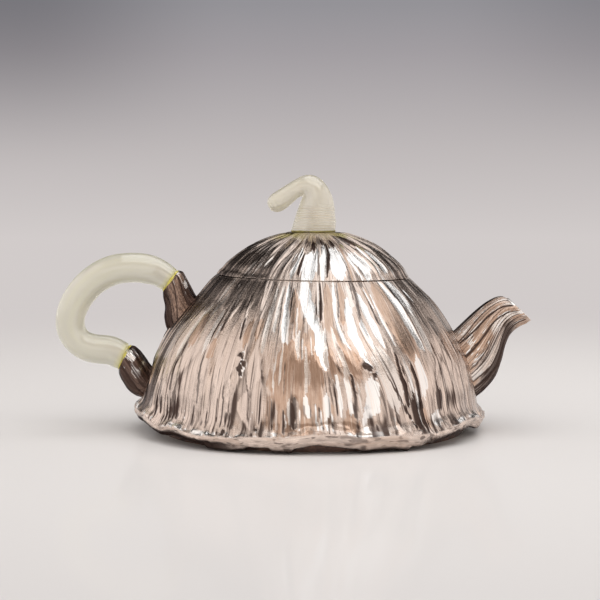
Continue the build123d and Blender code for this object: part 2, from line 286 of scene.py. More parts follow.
# The leaf blades of the front, each a facet of its own: its finish, its half width in degrees, and then
# the azimuth in degrees and t of each point on its way down.  t is 0 at the seam, 1 at the hem and below 0
# on the lid.  A later blade lies over an earlier one.
BLADES = [
    # the handle side: rosy satin under a dark shoulder
    ("grey", 2.4, -44, 0.06, -44.5, 0.25), ("brown", 1.5, -40.5, 0.1, -40.2, 0.48),
    ("grey", 1, -37, 0.14, -38, 0.4), ("grey", 0.6, -34.5, 0.15, -32, 0.36),
    ("brown", 0.9, -32, 0.1, -27.8, 0.43), ("grey", 0.7, -26.5, 0.02, -23.5, 0.3),
    ("pale", 1, -50, 0.02, -51.5, 0.2), ("pale", 1.1, -46.8, 0.12, -48.5, 0.3),
    ("pale", 1.3, -42.6, 0.24, -42.2, 0.55), ("pale", 1.3, -53.5, 0.2, -57.5, 0.6),
    ("tan", 3.2, -51.5, 0.27, -50, 0.52), ("tan", 1.5, -25.5, 0.3, -25, 0.48),
    ("tan", 1.2, -21, 0.28, -21, 0.44), ("tan", 1.5, -38.5, 0.44, -39, 0.58),
    ("grey", 0.6, -54.6, 0.46, -56.2, 0.8), ("grey", 0.5, -41.2, 0.5, -40.6, 0.84),
    ("grey", 0.5, -46, 0.62, -48, 0.92), ("brown", 0.35, -30.6, 0.42, -29.8, 0.98),
    ("pale", 1, -19, 0.05, -17.5, 0.52), ("pale", 1.3, -15.5, 0.04, -14.5, 0.4),
    ("brown", 1.2, -63, 0.84, -62.2, 0.975), ("brown", 0.6, -60.5, 0.8, -59.4, 0.96),
    ("brown", 0.6, -58.8, 0.79, -57, 0.965), ("brown", 0.6, -57, 0.79, -55, 0.965),
    ("brown", 0.6, -55, 0.8, -53.2, 0.965), ("brown", 0.8, -51.6, 0.8, -51.1, 0.965),
    ("brown", 0.6, -50, 0.82, -49.4, 0.96), ("brown", 0.5, -47, 0.84, -46, 0.955),
    ("brown", 0.4, -42, 0.81, -41.2, 0.96), ("brown", 0.4, -38.2, 0.84, -37.6, 0.955),
    ("brown", 0.4, -36.4, 0.83, -35.8, 0.955), ("brown", 0.4, -33.2, 0.82, -32.6, 0.95),
    ("brown", 0.45, -28.6, 0.82, -28.2, 0.945), ("brown", 0.35, -27.2, 0.82, -26.8, 0.95),
    ("brown", 0.4, -22, 0.82, -22, 0.95), ("brown", 0.5, -19.2, 0.76, -18.9, 0.955),
    ("brown", 0.45, -16.6, 0.7, -16.4, 0.95),
    # the front: white ridges, tan hollows and dark creases
    ("white", 3.6, -5.6, -0.04, -3.6, 0.12, -1.2, 0.24, 0.8, 0.34),
    ("white", 2.7, 0.4, 0.25, 3, 0.38, 4.2, 0.5, 5.3, 0.61),
    ("white", 1.3, -13.2, 0, -11.8, 0.22, -8.9, 0.53), ("grey", 0.4, -15.2, 0, -14.9, 0.15, -12.4, 0.42),
    ("brown", 0.6, -11, 0, -9.4, 0.26), ("tan", 2.2, -9, 0.08, -6.6, 0.26, -4.6, 0.4, -2.6, 0.52),
    ("tan", 6.6, -7, 0.44, -7.6, 0.6, -7.6, 0.84), ("tan", 2, 0.2, 0.36, -1, 0.58),
    ("brown", 0.3, -8.8, 0.5, -8.4, 0.76), ("pale", 0.4, -10.4, 0.46, -10, 0.72),
    ("brown", 0.25, -3.4, 0.6, -3.1, 0.82), ("pale", 0.35, -12.4, 0.5, -12, 0.78),
    ("brown", 0.25, -5.6, 0.5, -5.3, 0.68), ("brown", 0.3, 3.8, 0.56, 4, 0.76),
    ("tan", 2.5, 2.2, 0.52, 2.2, 0.84), ("pale", 0.5, -6.8, 0.18, -5, 0.52),
    ("pale", 0.5, -4.6, 0.34, -4.2, 0.55), ("pale", 0.45, -3.1, 0.42, -3, 0.58),
    ("pale", 0.6, -1.6, 0.47, -1.4, 0.78), ("pale", 0.4, 0.3, 0.4, 0.6, 0.55),
    ("brown", 0.45, 1.2, 0, 1.7, 0.31), ("pale", 0.5, 2.5, 0, 2.7, 0.3), ("brown", 0.9, 4, 0, 3.7, 0.32),
    ("tan", 2, 7.4, 0.02, 6.8, 0.38), ("white", 1.1, 11.2, -0.01, 10.2, 0.2, 10.8, 0.34, 14.4, 0.5),
    ("tan", 1.5, 14.6, 0.02, 13.2, 0.33), ("white", 1.9, 16.6, 0.12, 15.8, 0.26, 16.8, 0.4, 20, 0.59),
    ("grey", 0.4, 13, 0, 12, 0.2, 11.4, 0.31, 14.4, 0.42), ("pale", 1.6, 19, 0.03, 18.2, 0.22),
    ("grey", 0.5, 21.4, 0, 19.4, 0.17), ("tan", 1.8, 7.6, 0.32, 10.4, 0.44, 17.6, 0.68),
    ("pale", 0.9, 7.8, 0.34, 9.8, 0.48, 13.2, 0.66), ("tan", 1.4, 7.2, 0.48, 9.2, 0.7),
    ("brown", 0.3, 9, 0.39, 10.8, 0.5), ("brown", 0.5, 7.7, 0.61, 8.7, 0.87),
    ("white", 0.7, 8.8, 0.63, 9.9, 0.9), ("brown", 0.5, 9.9, 0.61, 10.9, 0.9),
    ("white", 0.9, 11.7, 0.59, 13, 0.9), ("brown", 1.2, 14, 0.62, 14.7, 0.92),
    ("pale", 0.4, 15.6, 0.66, 16.8, 0.88), ("brown", 0.4, 15.3, 0.7, 16.2, 0.92),
    ("tan", 2.4, 12.6, 0.89, 12.6, 1), ("white", 2.7, 20.4, 0.655, 20.9, 0.76, 19.4, 0.9),
    ("white", 0.9, 17.9, 0.82, 17.5, 0.985), ("brown", 0.3, 4.8, 0.62, 5, 0.78),
    ("white", 1.3, 5.3, 0.75, 5.2, 0.91), ("brown", 0.6, -12.6, 0.77, -12.3, 0.965),
    ("brown", 0.6, -11.2, 0.8, -10.7, 0.96), ("brown", 1, -8.6, 0.82, -8.2, 0.975),
    ("brown", 0.8, -5.6, 0.8, -5.2, 0.965), ("brown", 1, -3.9, 0.78, -3.6, 0.96),
    ("grey", 1, -4.8, 0.76, -4.5, 0.9), ("pale", 0.6, -6.8, 0.79, -6.3, 0.95),
    ("white", 0.9, -1.6, 0.77, -0.4, 0.9), ("brown", 0.3, -0.2, 0.8, 0.5, 0.9),
    ("white", 0.4, 1.6, 0.81, 2.2, 0.985), ("brown", 0.35, 2.8, 0.82, 2.7, 0.98),
    ("white", 0.4, 3.4, 0.85, 3.4, 0.985), ("white", 0.4, 5, 0.88, 4.8, 0.985),
    ("white", 0.4, 6.8, 0.86, 6.8, 0.985), ("brown", 0.4, 6, 0.86, 6, 0.985),
    # the spout side: one broad tan leaf, a deep torn recess, then soft grey
    ("grey", 0.8, 22.5, 0, 20.6, 0.3, 22.2, 0.44), ("white", 1.9, 23.2, 0.08, 24.2, 0.25, 28, 0.49),
    ("white", 1.2, 20.6, 0.3, 23.5, 0.5), ("tan", 0.5, 26.2, 0.05, 28.8, 0.36),
    ("white", 0.45, 27.6, 0.06, 29.2, 0.24), ("grey", 0.5, 27.2, 0.16, 28.6, 0.36),
    ("tan", 0.5, 29.2, 0.04, 30.6, 0.3), ("white", 0.6, 30.4, 0.08, 30.6, 0.3, 33.4, 0.51),
    ("brown", 0.35, 31.4, 0.28, 34, 0.43), ("tan", 5.2, 35.2, 0.005, 36.4, 0.25, 40.2, 0.6),
    ("white", 1.9, 39.6, 0, 42.4, 0.2, 43.6, 0.34, 46, 0.54),
    ("white", 3.4, 46, -0.01, 47.6, 0.12, 48.6, 0.28), ("pale", 1.8, 48.2, 0.22, 49.2, 0.55),
    ("grey", 0.6, 41.8, 0, 44.9, 0.18, 46.4, 0.32, 46.8, 0.52), ("grey", 1.3, 53, 0, 55, 0.46),
    ("white", 1.1, 55, 0.07, 56, 0.2), ("pale", 3.8, 24, 0.48, 27.5, 0.66, 29, 0.86),
    ("brown", 0.5, 20.6, 0.34, 23, 0.5, 27.4, 0.68, 30.6, 0.8, 34, 0.92, 36.4, 1),
    ("black", 1, 31.4, 0.53, 31.8, 0.66, 33.4, 0.86), ("brown", 0.5, 33, 0.545, 33.6, 0.74),
    ("pale", 0.8, 34.4, 0.55, 35.2, 0.7, 35.6, 0.82), ("white", 0.5, 35.6, 0.6, 36, 0.76),
    ("brown", 0.3, 33.8, 0.57, 34.6, 0.78), ("black", 1.2, 37.2, 0.59, 38.4, 0.7, 38.6, 0.86),
    ("black", 1.1, 35.4, 0.78, 36.2, 0.96), ("black", 1.3, 38.2, 0.8, 39.6, 0.985),
    ("white", 0.5, 36.9, 0.74, 37.9, 0.95), ("tan", 0.8, 40.4, 0.84, 41.8, 0.97),
    ("white", 1.9, 40.6, 0.56, 41.6, 0.66, 41.4, 0.8), ("brown", 0.6, 51.2, 0.46, 51.6, 0.92),
    ("grey", 0.8, 58.5, 0.3, 59.8, 0.66), ("grey", 2.2, 60.5, 0.34, 60.5, 0.5),
    ("white", 1.9, 45, 0.88, 45.2, 0.965), ("grey", 1.6, 47.8, 0.76, 47.4, 0.9),
    ("brown", 0.4, 54.6, 0.78, 54.8, 0.93), ("brown", 0.7, 24.4, 0.84, 24.6, 0.97),
    ("brown", 0.5, 21, 0.875, 21.2, 0.97), ("brown", 0.6, 28.4, 0.86, 29, 0.96),
    ("pale", 0.4, 27.4, 0.87, 27.8, 0.97), ("grey", 1, 66, 0.4, 68, 0.6),
    ("grey", 0.8, 64.5, 0.1, 65.5, 0.28),
    # the lid
    ("white", 2.3, -13.4, -0.01, -11.4, -0.15, -8.8, -0.27), ("grey", 1.1, -14.6, -0.05, -9.8, -0.26),
    ("white", 5.8, -3.4, 0, -1.8, -0.13, 1, -0.26), ("black", 0.9, -9.4, -0.02, -6.4, -0.21),
    ("white", 2.6, 5.8, 0, 7.6, -0.15, 10, -0.31), ("grey", 0.5, 3, 0, 4.4, -0.28),
    ("white", 5.6, 15.8, 0, 17, -0.15, 17.6, -0.29), ("black", 1.4, 8.2, -0.03, 11.4, -0.19, 13.2, -0.33),
    ("black", 2.2, 0, -0.24, 1, -0.34), ("black", 2.4, 19, -0.26, 18.4, -0.35),
    ("black", 1.6, 8, -0.3, 8.6, -0.36), ("white", 6.5, 34, 0, 31, -0.21),
    ("tan", 0.8, 23.4, 0, 24.6, -0.3), ("grey", 0.8, 32.4, 0, 27.6, -0.15),
    ("black", 4.5, 40, -0.27, 36, -0.4), ("white", 1.4, 44.2, -0.01, 41.4, -0.27),
    ("grey", 1, 48, 0, 44.2, -0.24), ("white", 3.3, 51, -0.03, 47.4, -0.23),
    ("white", 1.1, 58, -0.01, 57, -0.11), ("white", 4.5, 66, -0.22, 62, -0.42),
    ("pale", 0.8, -46.5, 0, -42.6, -0.15), ("pale", 0.6, -43.5, 0, -40.2, -0.12),
    ("pale", 0.6, -40, 0, -36, -0.14), ("pale", 1.2, -33, -0.1, -30, -0.19),
]
# Broad finishes under the blades: finish, strength, azimuth, t, half width in degrees, half height in t.
GROUNDS = [
    # the body
    ("tan", 0.4, 8, 0.22, 24, 0.36), ("white", 0.5, 47, 0.2, 5, 0.36), ("grey", 0.7, -52, 0.07, 22, 0.26),
    ("grey", 0.62, -33, 0.05, 14, 0.22), ("grey", 0.9, -77, 0.62, 11, 0.5),
    ("grey", 0.8, -70, 0.12, 16, 0.3), ("grey", 0.35, 66, 0.4, 15, 0.7), ("grey", 0.55, 26, 0, 5, 0.07),
    ("tan", 0.6, 14, 0.62, 5, 0.14), ("tan", 0.75, -4, 0.86, 13, 0.17), ("tan", 0.6, 37, 0.26, 5.5, 0.28),
    ("grey", 0.4, -42, 0.82, 28, 0.2), ("tan", 0.8, 12.6, 0.93, 3, 0.08),
    # the lid
    ("grey", 0.66, -62, -0.25, 52, 0.42), ("grey", 0.5, 78, -0.25, 24, 0.5),
    ("grey", 0.6, 12, -0.36, 40, 0.07), ("pale", 0.6, -4, -0.45, 40, 0.09),
    ("white", 0.3, 14, -0.12, 26, 0.18), ("grey", 0.35, 10, -0.15, 40, 0.3),
    # the back
    ("grey", 0.45, 160, 0.1, 70, 0.3), ("tan", 0.4, 130, 0.6, 25, 0.3), ("tan", 0.4, -140, 0.5, 25, 0.3),
    ("grey", 0.6, 180, -0.3, 80, 0.35),
]
# Soft dark patches above the hem: azimuth, t, half width in degrees, half height in t, and strength.
DARK_HEM_PATCHES = [
    (-12.2, 0.88, 3.8, 0.13, 0.75), (-4.6, 0.88, 4.6, 0.15, 0.85), (25.4, 0.9, 4, 0.13, 0.75),
    (21.4, 0.92, 4.6, 0.09, 0.85), (57, 0.85, 10, 0.1, 0.65), (-51, 0.885, 3.2, 0.06, 0.5),
    (-27.5, 0.885, 1.8, 0.05, 0.35), (-40, 0.88, 2.4, 0.05, 0.3), (11.5, 0.92, 3.6, 0.1, 0.5),
    (2, 0.92, 3.2, 0.08, 0.6), (-8.4, 0.9, 2.6, 0.09, 0.6), (6.6, 0.92, 2.4, 0.07, 0.5),
]
# Bulges that lean out on the way down and end in a pocket: azimuth, top t, foot t, half width, rise in mm.
SWELLS = [
    (20.3, 0.6, 0.86, 4.2, 0.5), (41.6, 0.54, 0.78, 3.4, 0.5), (5.3, 0.72, 0.9, 1.9, 0.4),
    (9.3, 0.6, 0.88, 1.1, 0.5), (12.4, 0.58, 0.88, 1.3, 0.5), (-22, 0.7, 0.92, 4, 0.2),
    (-46, 0.7, 0.92, 4.5, 0.3),
]
# Casting marks left in the wall: azimuth, t, radius in mm, depth in mm.
PITS = [
    (-25.9, 0.535, 1.4, 0.6), (-25, 0.55, 0.8, 0.5), (-24.6, 0.59, 1.6, 0.7), (-25.4, 0.62, 1.3, 0.6),
    (-24.8, 0.645, 0.9, 0.5), (19.2, 0.6, 1, 0.6), (20.4, 0.62, 0.9, 0.5), (21.8, 0.655, 1, 0.6),
    (-28, 0.975, 0.8, 0.5), (-30.2, 0.98, 0.5, 0.4), (-17, 0.965, 0.5, 0.4), (-118, 0.5, 1.1, 0.5),
    (150, 0.45, 1, 0.5),
]


def hidden_blades():
    """More blades for the sides and the back, drawn by chance but always the same."""
    draw = np.random.default_rng(77)
    blades = []
    for azimuth in np.arange(76, 286, 1.25):
        top = draw.uniform(-0.35, 0.75)
        foot = min(top + draw.uniform(0.2, 0.6), 0.97)
        lean = draw.uniform(-1.5, 2.5)
        finish = draw.choice(["brown", "tan", "pale", "white", "grey"], p=[0.32, 0.16, 0.22, 0.14, 0.16])
        width = draw.uniform(0.4, 1.1) if finish == "brown" else draw.uniform(0.4, 1.7)
        start = azimuth + draw.uniform(-1, 1)
        blades.append((finish, width, start, top, start + lean, foot))
    return blades


def turn_between(a, b):
    """The difference of two azimuths in degrees, from -180 to 180."""
    return (a - b + 180) % 360 - 180


def patches(turn, t, spots):
    """Soft-edged patches at (azimuth, t, half width in degrees, half height in t)."""
    cover = np.zeros_like(turn)
    for azimuth, middle, width, tall in spots:
        away = np.hypot(turn_between(turn, azimuth) / width, (t - middle) / tall)
        cover = np.maximum(cover, 1 - smooth(0.75, 1.1, away))
    return cover


def blade_cover(side, t, blade, comb, fray):
    """How far inside a blade each point is (0 to 1), and its place across it (-1 to 1 from edge to edge)."""
    name, width, *way = blade
    azimuths, levels = way[0::2], way[1::2]
    if levels[0] > levels[-1]:
        azimuths, levels = azimuths[::-1], levels[::-1]
    level = t + 0.022 * comb
    share = np.clip((level - levels[0]) / (levels[-1] - levels[0]), 0, 1)
    centre = np.interp(level, levels, azimuths)
    if name in ("brown", "black"):
        blunt = 0.6 if name == "brown" else 0.25
        half = width * np.clip(share ** blunt * (1 - share ** 6) ** 0.5, 0.01, 1)
    else:
        half = width * np.clip(1 - np.abs(2 * share - 1) ** 3, 0.0001, 1) ** 0.7
    across = turn_between(side, centre) / half
    inside = (1 - smooth(0.75, 1.15, np.abs(across) + 0.22 * fray)) * (share > 0) * (share < 1)
    return inside * np.clip(half * 3, 0, 1), np.clip(across, -1.5, 1.5)


def lay(finish, name, cover, strength=1):
    """Lays one finish over the others where cover is 1, at that strength."""
    for other in finish:
        finish[other] = finish[other] * (1 - cover)
    finish[name] = finish[name] + cover * strength


def darkness(finish):
    """The share of the dark finishes together."""
    return sum(finish[name] for name in DARKS)


def relief(line, azimuth, t, radius):
    """Displacement of the skin along its normal, in mm, how deep in a groove or how dark it is (0 to 1),
    and the share of each finish.  t runs from 0 at the seam to 1 at the hem, and below 0 up the lid."""
    side, cell = np.degrees(azimuth), line / (2 * pi)
    low = smooth(0.1, 0.8, t)
    plain = np.ones_like(line)
    comb = noise(cell, t * 1.5 + 8, 420, 151) + 0.6 * noise(cell, t * 2 + 8, 900, 152)
    wiggle = 0.5 * noise(cell, t * 6 + 10, 90, 141) + 0.3 * noise(cell, t * 12 + 20, 200, 142)
    streaks = 0.25 + 0.75 * smooth(-0.45, 0.25, noise(cell, t * 2.2 + 9, 230, 153) + 0.5 * comb)
    strokes = smooth(-0.5, 0.5, noise(cell, t * 4 + 9, 430, 157) + 0.4 * comb)
    glints = smooth(0.1, 0.35, noise(cell, t * 16 + 9, 360, 154))
    fray = noise(cell, t * 20 + 11, 440, 155) + 0.5 * noise(cell, t * 9 + 11, 180, 156)
    finish = {name: np.zeros_like(line) for name in FINISHES}

    # darker in the last strokes above the hem, and in soft patches
    darkened = smooth(0.0, -0.45, noise(cell, t * 3 + 9, 330, 158)) * smooth(0.88, 0.95, t)
    groove = 0.55 * darkened * bump(side, 30, 34)
    for turn, level, wide, tall, strength in DARK_HEM_PATCHES:
        away = np.hypot(turn_between(side + 3 * wiggle, turn) / wide, (t + 0.04 * comb - level) / tall)
        groove = np.maximum(groove, strength * (1 - smooth(0.0, 1.25, away)) * (0.25 + 0.75 * strokes))

    for name, strength, *spot in GROUNDS:
        cover = strength * patches(side + 2 * wiggle, t + 0.03 * comb, [spot])
        lay(finish, name, cover * (0.15 + 0.85 * streaks) if name == "grey" else cover)

    height = np.zeros_like(line)
    for blade in BLADES + hidden_blades():
        name, width = blade[:2]
        cover, across = blade_cover(side + 0.5 * wiggle, t, blade, comb, fray)
        lay(finish, name, cover, streaks if name in ("brown", "grey") else 1)
        size = min(1.0, 0.45 + width / 3) * np.minimum(1.0, radius / 50)
        height = height + BLADE_RISE[name] * size * cover * (1 - 0.8 * across * across)
        if name in DARKS:
            deep = {"grey": 0.25, "brown": 0.9 * streaks, "black": 1.0}[name]
            groove = np.maximum(groove, cover * (1 - 0.6 * np.abs(across)) * deep)
        # painted highlights: white glints along the edges of the wider dark creases
        if name in ("brown", "black") and width > 0.45:
            lit = glints * (bump(across, 0.95, 0.3) + 0.7 * bump(across, -1.0, 0.25)) * (cover > 0)
            finish["white"] = np.maximum(finish["white"], lit)
            groove = groove * (1 - lit)
        if width > 1.4:
            plain = plain * (1 - 0.75 * cover)

    pleats = [(folds(cell, t, 20, 0.30, 0.60, 0.9, 1.2, 101), 0.2 + 1.0 * low),
              (folds(cell, t, 64, 0.22, 0.46, 1.3, 1.2, 111), (0.75 + 0.4 * low) * (0.35 + 0.65 * plain)),
              (folds(cell, t, 138, 0.16, 0.32, 1.6, 1.8, 121), (0.85 + 0.25 * low) * plain),
              (folds(cell, t, 270, 0.09, 0.13, 1.8, 3.0, 131), (0.8 + 0.4 * low) * (0.3 + 0.7 * plain))]
    for (rise, crease), share in pleats:
        height = height + rise * share
        groove = groove + crease * share * 0.40 * np.minimum(1.0, radius / 30)
    for turn, top, foot, wide, rise in SWELLS:
        share = np.clip((t - top) / (foot - top), 0, 1)
        across = np.clip(np.abs(turn_between(side, turn)) / wide, 0, 1)
        height = height + rise * share * (1 - smooth(foot, foot + 0.11, t)) * (1 - across ** 2) ** 1.5
    for turn, level, size, deep in PITS:
        across = radians(1) * turn_between(side, turn) * radius
        down = (t - level) * SEAM_TO_HEM * 0.8
        away = np.hypot(across, down) / size + 0.7 * wiggle + 0.3 * fray
        hollow = 1 - smooth(0.5, 1.1, away)
        # painted highlight: a white rim on one side of each pit
        rim = bump(away, 1.3, 0.22) * smooth(-0.2, 0.6, across / size)
        finish["white"] = np.maximum(finish["white"], 0.9 * rim)
        height, groove = height - deep * hollow, groove * (1 - rim) + 1.2 * hollow
    return soften(height), np.clip(groove, 0, 1), finish


def hem_lift(azimuth):
    """Height that the hem gains: up towards the handle, a dip and a kick by the spout, and a slow wave."""
    side, turn = np.sin(azimuth), np.degrees(azimuth)
    dip = HEM_DIP * bump(turn, 38, 9)
    wave = 0.35 * np.sin(3 * azimuth + 0.6) + 0.3 * np.sin(7 * azimuth + 2.0) + 0.25 * np.sin(13 * azimuth)
    return HEM_LIFT_LEFT * smooth(0.82, 0.99, -side) + HEM_LIFT_RIGHT * bump(turn, 62, 16) - dip + wave


def seam_tilt(points, share):
    """Tips the rims of the body and the lid about Y by the same small amount, where share is 1."""
    points[..., 2] -= SEAM_TILT * points[..., 0] * share
    return points


def flow_attribute(line, along, radius):
    """Coordinates that run with the grain, for the materials' noises: fine across it and slow along it."""
    return np.stack([radius * np.cos(line), radius * np.sin(line), along], axis=-1)


def revolve(section, outward):
    """The grids that a pleated shell starts from: radius, height, pleat line, and its section's normal."""
    tangent = np.gradient(section, axis=0)
    normal = outward * np.stack([-tangent[:, 1], tangent[:, 0]], axis=1)
    normal /= np.maximum(np.linalg.norm(normal, axis=1), 1e-6)[:, None]
    line = np.linspace(-pi, pi, COLUMNS, endpoint=False)[None, :] + np.zeros((len(section), 1))
    r, z, push_r, push_z = (column[:, None] + 0 * line for column in (*section.T, *normal.T))
    return r, z, line, push_r, push_z


def body_wall():
    """The pleated wall of the pot: outer skin, rolled hem and smooth inside, as one closed shell."""
    top = SEAM_Z - SEAM_GAP
    outer = np.vstack([[(SEAM_R, top), (SEAM_R + 0.08, top - 0.12)], catmull(BODY_OUT, 80)[1:]])
    edge = catmull([BODY_OUT[-1]] + HEM_EDGE, EDGE_ROWS + 1)[1:]
    inner = catmull([HEM_EDGE[-1]] + BODY_IN, 12)[1:]
    rim = [(COLLAR_R, 58.3), (COLLAR_R + 0.15, top), (35.7, top), (SEAM_R - 0.15, top)]
    section = np.vstack([outer, edge, inner, rim])
    r, z, line, push_r, push_z = revolve(section, -1)
    last = len(outer) - 1
    end = last + EDGE_ROWS
    outside = by_row(line, [last, last + 1], [1, 0])
    on_edge = by_row(line, [last, last + 1, end - 4, end], [0, 1, 1, 0])
    under = by_row(line, [last + 7, last + 10, end - 3, end], [0, 1, 1, 0])
    t = by_row(line, [0, last, end], [0, 1, 1.12])
    azimuth = line + body_drift(line) * smooth(0.2, 0.95, t)
    turn, cell = np.degrees(azimuth), line / (2 * pi)
    height, groove, finish = relief(line, azimuth, t, r)

    # the hem: a lumpy cast edge under a crumpled last stretch of skin
    lumps = (0.5 * noise(cell, z / 3 + 2, 44, 21) + 0.4 * noise(cell, z / 1.6 + 2, 110, 22)
             + 0.3 * noise(cell, z / 0.8 + 2, 240, 23))
    crumple = 0.5 * noise(cell, t * 40 + 5, 130, 27) + 0.4 * noise(cell, t * 70 + 9, 300, 28)
    height = height * (outside * (1 - 0.25 * smooth(0.9, 0.98, t)) + 0.5 * on_edge) + lumps * on_edge * 0.6
    height = height + 0.9 * crumple * bump(t, 0.985, 0.035) * outside
    r = r + push_r * height
    z = z + push_z * height * smooth(0.0, 0.04, t)
    sag = patches(turn, 0 * t, [(-28, 0, 8, 1), (-9, 0, 4, 1), (22, 0, 7, 1), (30, 0, 3, 1)])
    z = z - under * (1.3 * sag + 0.4 * lumps)
    z = z + hem_lift(azimuth) * smooth(24, 6, z) + 0.5 * smooth(11, 7, z) * noise(cell, 3, 47, 24)
    z = np.maximum(z, 0.15)
    r = r + 0.9 * noise(cell, 3, 15, 31) * smooth(15, 5, z) * (outside + on_edge)
    points = polar(r, azimuth, z)
    points[..., 0] += BODY_CENTRE_X * smooth(56, 36, z)
    points = seam_tilt(points, smooth(50, 57, z) * smooth(34.9, 36.0, r))

    # its looks: painted shade under the lip, painted highlights in beads along its corner, rust, and a smear
    # of cement by the handle
    handle_side = smooth(-14, -38, turn) * smooth(-170, -130, turn)
    shade = by_row(line, [last + 3, last + 6, end], [0, 1, 1])
    shade = shade * np.clip(handle_side + 0.85 * bump(turn, 50, 13) + 0.12 * bump(turn, 4, 26), 0, 1)
    shade = np.maximum(under, shade)
    beads = noise(cell, t + 9, 90, 25) + 0.8 * noise(cell, t * 60 + 9, 330, 29)
    # painted highlights: white beads along the hem's corner, on the front half only
    crest_highlight = bump(t, 0.988, 0.017) * smooth(-0.2, 0.1, beads) * (np.cos(azimuth) > -0.5)
    pitted = noise(cell, z / 0.5 + 4, 300, 30)
    rust = on_edge * smooth(0.0, 0.5, noise(cell, z / 2 + 3, 60, 26))
    smear = patches(turn + 3 * lumps, t + 0.05 * lumps, [(-79, 0.62, 6, 0.11)])
    # painted shade: dark and groove darken the hem's underside and the lip's lower rows, most on the handle
    # side and beside the spout
    dark = darkness(finish) * outside + on_edge * (0.10 + 0.3 * lumps + 0.25 * pitted) + 0.9 * shade
    groove = groove * outside + 0.5 * on_edge * smooth(0.0, -0.7, lumps + 0.5 * pitted) + 0.8 * shade
    attributes = {
        "stain": 0.75 * outside * smear,
        "raw": 0.7 * on_edge * (1 - shade) + 0.35 * outside * smooth(0.93, 0.985, t) * (1 - crest_highlight),
        "white": np.clip(finish["white"] * outside + crest_highlight, 0, 1),
        "pale": finish["pale"] * outside,
        "tan": np.clip(finish["tan"] * outside + 0.45 * rust, 0, 1),
        "dark": np.clip(dark, 0, 1) * (1 - 0.7 * crest_highlight),
        "groove": np.clip(groove, 0, 1),
        "flow": (flow_attribute(line, t * 3.0, 20.0) * (1 - on_edge[..., None])
                 + flow_attribute(line, t * 60.0, 3.5) * on_edge[..., None]),
    }
    return grid_mesh("body_wall", points, closed_rows=True, attributes=attributes)


def lid_dome():
    """The pleated lid: its skin carries the body's pleats on, up to the flat boss under the knob."""
    bottom = SEAM_Z + 0.12
    outer = np.vstack([[(SEAM_R - 0.12, bottom), (SEAM_R - 0.2, bottom + 0.12)], catmull(LID_OUT, 58)[2:]])
    boss = [(BOSS_R - 0.5, BOSS_Z), (6.0, BOSS_Z), (STUD_R, BOSS_Z), (STUD_R, 74.8), (STUD_R, 74.4)]
    inner = catmull(LID_IN, 20)
    rim = [(FLANGE_R, 59.6), (FLANGE_R + 0.1, bottom), (35.2, bottom), (SEAM_R - 0.3, bottom)]
    section = np.vstack([outer, boss, inner, rim])
    r, z, line, push_r, push_z = revolve(section, 1)
    last = len(outer) - 1
    outside = by_row(line, [last, last + 1], [1, 0])
    t = by_row(line, [0, last], [0, LID_TOP_T])
    azimuth = line + lid_drift(line) * smooth(0.0, -0.4, t)
    height, groove, finish = relief(line, azimuth, t, r)
    height = height * outside * smooth(LID_TOP_T, -0.44, t) * (1 + 0.8 * smooth(0, -0.3, t))
    r = r + push_r * height
    z = z + push_z * height * smooth(0.0, -0.04, t)
    points = seam_tilt(polar(r, azimuth, z), smooth(66, 60, z) * smooth(34.5, 36.0, r))
    side, cell = np.degrees(azimuth), line / (2 * pi)
    stain = smooth(BOSS_R + 9.0, BOSS_R + 4.0, r + 3.0 * noise(cell, t * 4 + 9, 40, 41))
    stain = stain * np.clip(0.25 + bump(side, -42, 24) + bump(side, 44, 20), 0, 1)
    streak = patches(side, t, [(44, -0.26, 3, 0.18), (27, -0.36, 2.0, 0.12)])
    stain = np.maximum(stain, streak * smooth(-0.1, 0.4, noise(cell, t * 8 + 9, 200, 42)))
    attributes = {name: finish[name] * outside for name in ("white", "pale", "tan")}
    attributes |= {
        "dark": np.clip(darkness(finish) * outside, 0, 1),
        "groove": groove * outside,
        "stain": stain * outside,
        "flow": flow_attribute(line, t * 3.0, 20.0),
    }
    return grid_mesh("lid_dome", points, closed_rows=True, attributes=attributes)


# ---- bent forms: spout, sockets, knob ----
def bent_rings(stations, rows, columns):
    """Rings through the sections of a bent form, with the angle round each ring (0 on its upper edge),
    the share along the form, and the outward directions, all as (rows, columns) grids."""
    table = catmull(stations, rows)
    upper, lower, half = table[:, 0:2], table[:, 2:4], table[:, 4:5]
    middle, reach = (upper + lower) / 2, (upper - lower) / 2
    size = np.linalg.norm(reach, axis=1)[:, None]
    up = reach / size
    angle, share = ring_grid(rows, columns)
    c, s = np.cos(angle), -np.sin(angle)
    points = np.stack([middle[:, :1] + up[:, :1] * size * c, half * s, middle[:, 1:] + up[:, 1:] * size * c],
                      axis=-1)
    out = np.stack([up[:, :1] * c / size, s / half, up[:, 1:] * c / size], axis=-1)
    out /= np.linalg.norm(out, axis=-1)[..., None]
    return points, out, angle, share


def sink_root(points):
    """Keeps a form outside the pot: a point deeper than the middle of the wall moves out to there."""
    wall = catmull(BODY_OUT, 200)
    order = np.argsort(wall[:, 1])
    least = np.interp(points[..., 2], wall[order, 1], wall[order, 0]) - WALL_MID
    x, y = points[..., 0] - BODY_CENTRE_X, points[..., 1]
    radius = np.hypot(x, y)
    grow = np.where(radius < least, least / np.maximum(radius, 1e-6), 1.0)
    points[..., 0] = x * grow + BODY_CENTRE_X
    points[..., 1] = y * grow
    return points


